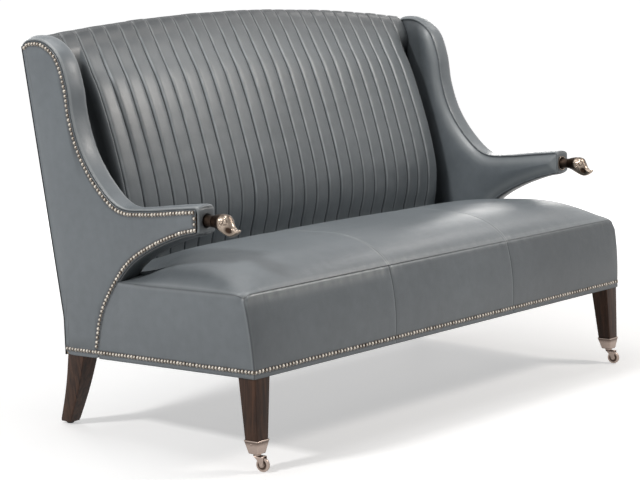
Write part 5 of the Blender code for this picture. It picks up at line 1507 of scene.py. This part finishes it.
# Underneath and inside: a black cambric dust cover stretched under the rails and cut out round the legs,
# rubber webbing over the rails, the pale hardwood frame, and nylon glides under the rear legs.
dust_x, dust_front, dust_rear = 0.8112, 0.0094, 0.6577
dust_notch, dust_rear_notch = 0.059, 0.064
dust_sag, dust_sag_reach, staple_gap, staple_rise, staple_reach = 0.0045, 0.07, 0.045, 0.0010, 0.010
dust_wall = 0.0006
# cloths: dark and light tone, thread, roughness; wood: dark and light tone, roughness
cambric_look = (0.008, 0.008, 0.009), (0.035, 0.035, 0.038), 0.0012, 0.85
webbing_look = (0.030, 0.024, 0.019), (0.14, 0.11, 0.08), 0.0022, 0.80
birch_look = (0.36, 0.25, 0.15), (0.55, 0.41, 0.26), 0.62
nylon_dark, nylon_light, nylon_rough, nylon_scuff = (0.010, 0.010, 0.010), (0.040, 0.038, 0.036), 0.55, 420
waves_per_thread, weave_bump, weave_strength, weave_worn = 0.3142, 0.0003, 0.5, 14


def woven(name, dark, light, thread, roughness):
    """Plain weave: two sets of fine bands crossed, worn lighter on the threads' tops."""
    made, tree, shader = new_material(name)
    place = object_place(tree)
    sockets = {"Vector": place, "Scale": waves_per_thread / thread, "Distortion": 0.4}
    bands = [wire(tree, "ShaderNodeTexWave", {"bands_direction": way}, sockets) for way in ("X", "Y")]
    tops = number(tree, "MULTIPLY", bands[0].outputs["Fac"], bands[1].outputs["Fac"])
    worn = noise(tree, place, weave_worn, 4)
    spread = number(tree, "MULTIPLY", tops, worn.outputs["Fac"])
    colour = blend(tree, spread, dark, light)
    bump = bumped(tree, tops, weave_strength, weave_bump)
    finish_shader(tree, shader, Base_Color=colour, Normal=bump, Roughness=roughness)
    return made


cambric = woven("black_cambric", *cambric_look)
webbing = woven("rubber_webbing", *webbing_look)
cut_x = dust_x - dust_notch
inner_run = np.linspace(-cut_x, cut_x, 49)
outer_run = np.linspace(cut_x, dust_x, 5)
front_run = np.linspace(dust_front, dust_front + dust_notch, 5)
middle_run = np.linspace(dust_front + dust_notch, dust_rear - dust_rear_notch, 17)
rear_run = np.linspace(dust_rear - dust_rear_notch, dust_rear, 5)
cover_patches = []
for xs, ys in ((inner_run, np.concatenate([front_run, middle_run[1:-1], rear_run])), (outer_run, middle_run),
               (-outer_run[::-1], middle_run)):
    cover_x, cover_y = np.meshgrid(xs, ys)
    to_hem = np.minimum(dust_x - np.abs(cover_x), np.minimum(cover_y - dust_front, dust_rear - cover_y))
    along_hem = np.where(dust_x - np.abs(cover_x) <= to_hem + tiny, cover_y, cover_x)
    pulled = 0.5 + 0.5 * np.cos(2 * math.pi * along_hem / staple_gap)
    sag = (dust_sag * (1 - fade(to_hem, dust_sag_reach))
           + staple_rise * pulled * fade(to_hem, staple_reach) * (to_hem > tiny))
    cover_patches.append({"grid": upright(np.stack([cover_x, cover_y, leg_top_z - sag], -1))})
cover_mesh = mesh_of("dust_cover_cloth", cover_patches, facing=(0, 0, -1))
cover = piece("dust_cover_cloth", cover_mesh, cambric, ["dust_cover"])
give_wall(cover, -dust_wall)

frame_wood = stained_wood("birch_frame_wood", *birch_look)
nylon, tree, shader = new_material("black_nylon")
scuff = noise(tree, object_place(tree), nylon_scuff, 4)
tone = blend(tree, scuff.outputs["Fac"], nylon_dark, nylon_light)
finish_shader(tree, shader, Base_Color=tone, Roughness=nylon_rough)
hidden_wood = ["front_rail", "back_rail", "back_tack_rail", "crest_rail"]
for tag in ("left", "right"):
    hidden_wood += [f"arm_frame_{tag}", f"back_post_{tag}", f"side_rail_{tag}", f"back_slat_{tag}",
                    f"corner_block_front_{tag}", f"corner_block_back_{tag}"]
finishes = {name: frame_wood for name in hidden_wood}
finishes.update({f"seat_strap_{k}": webbing for k in range(1, 8)})
finishes.update({f"rear_glide_{tag}": nylon for tag in ("left", "right")})
for name, finish in finishes.items():
    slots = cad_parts[name].data.materials
    slots.clear()
    slots.append(finish)
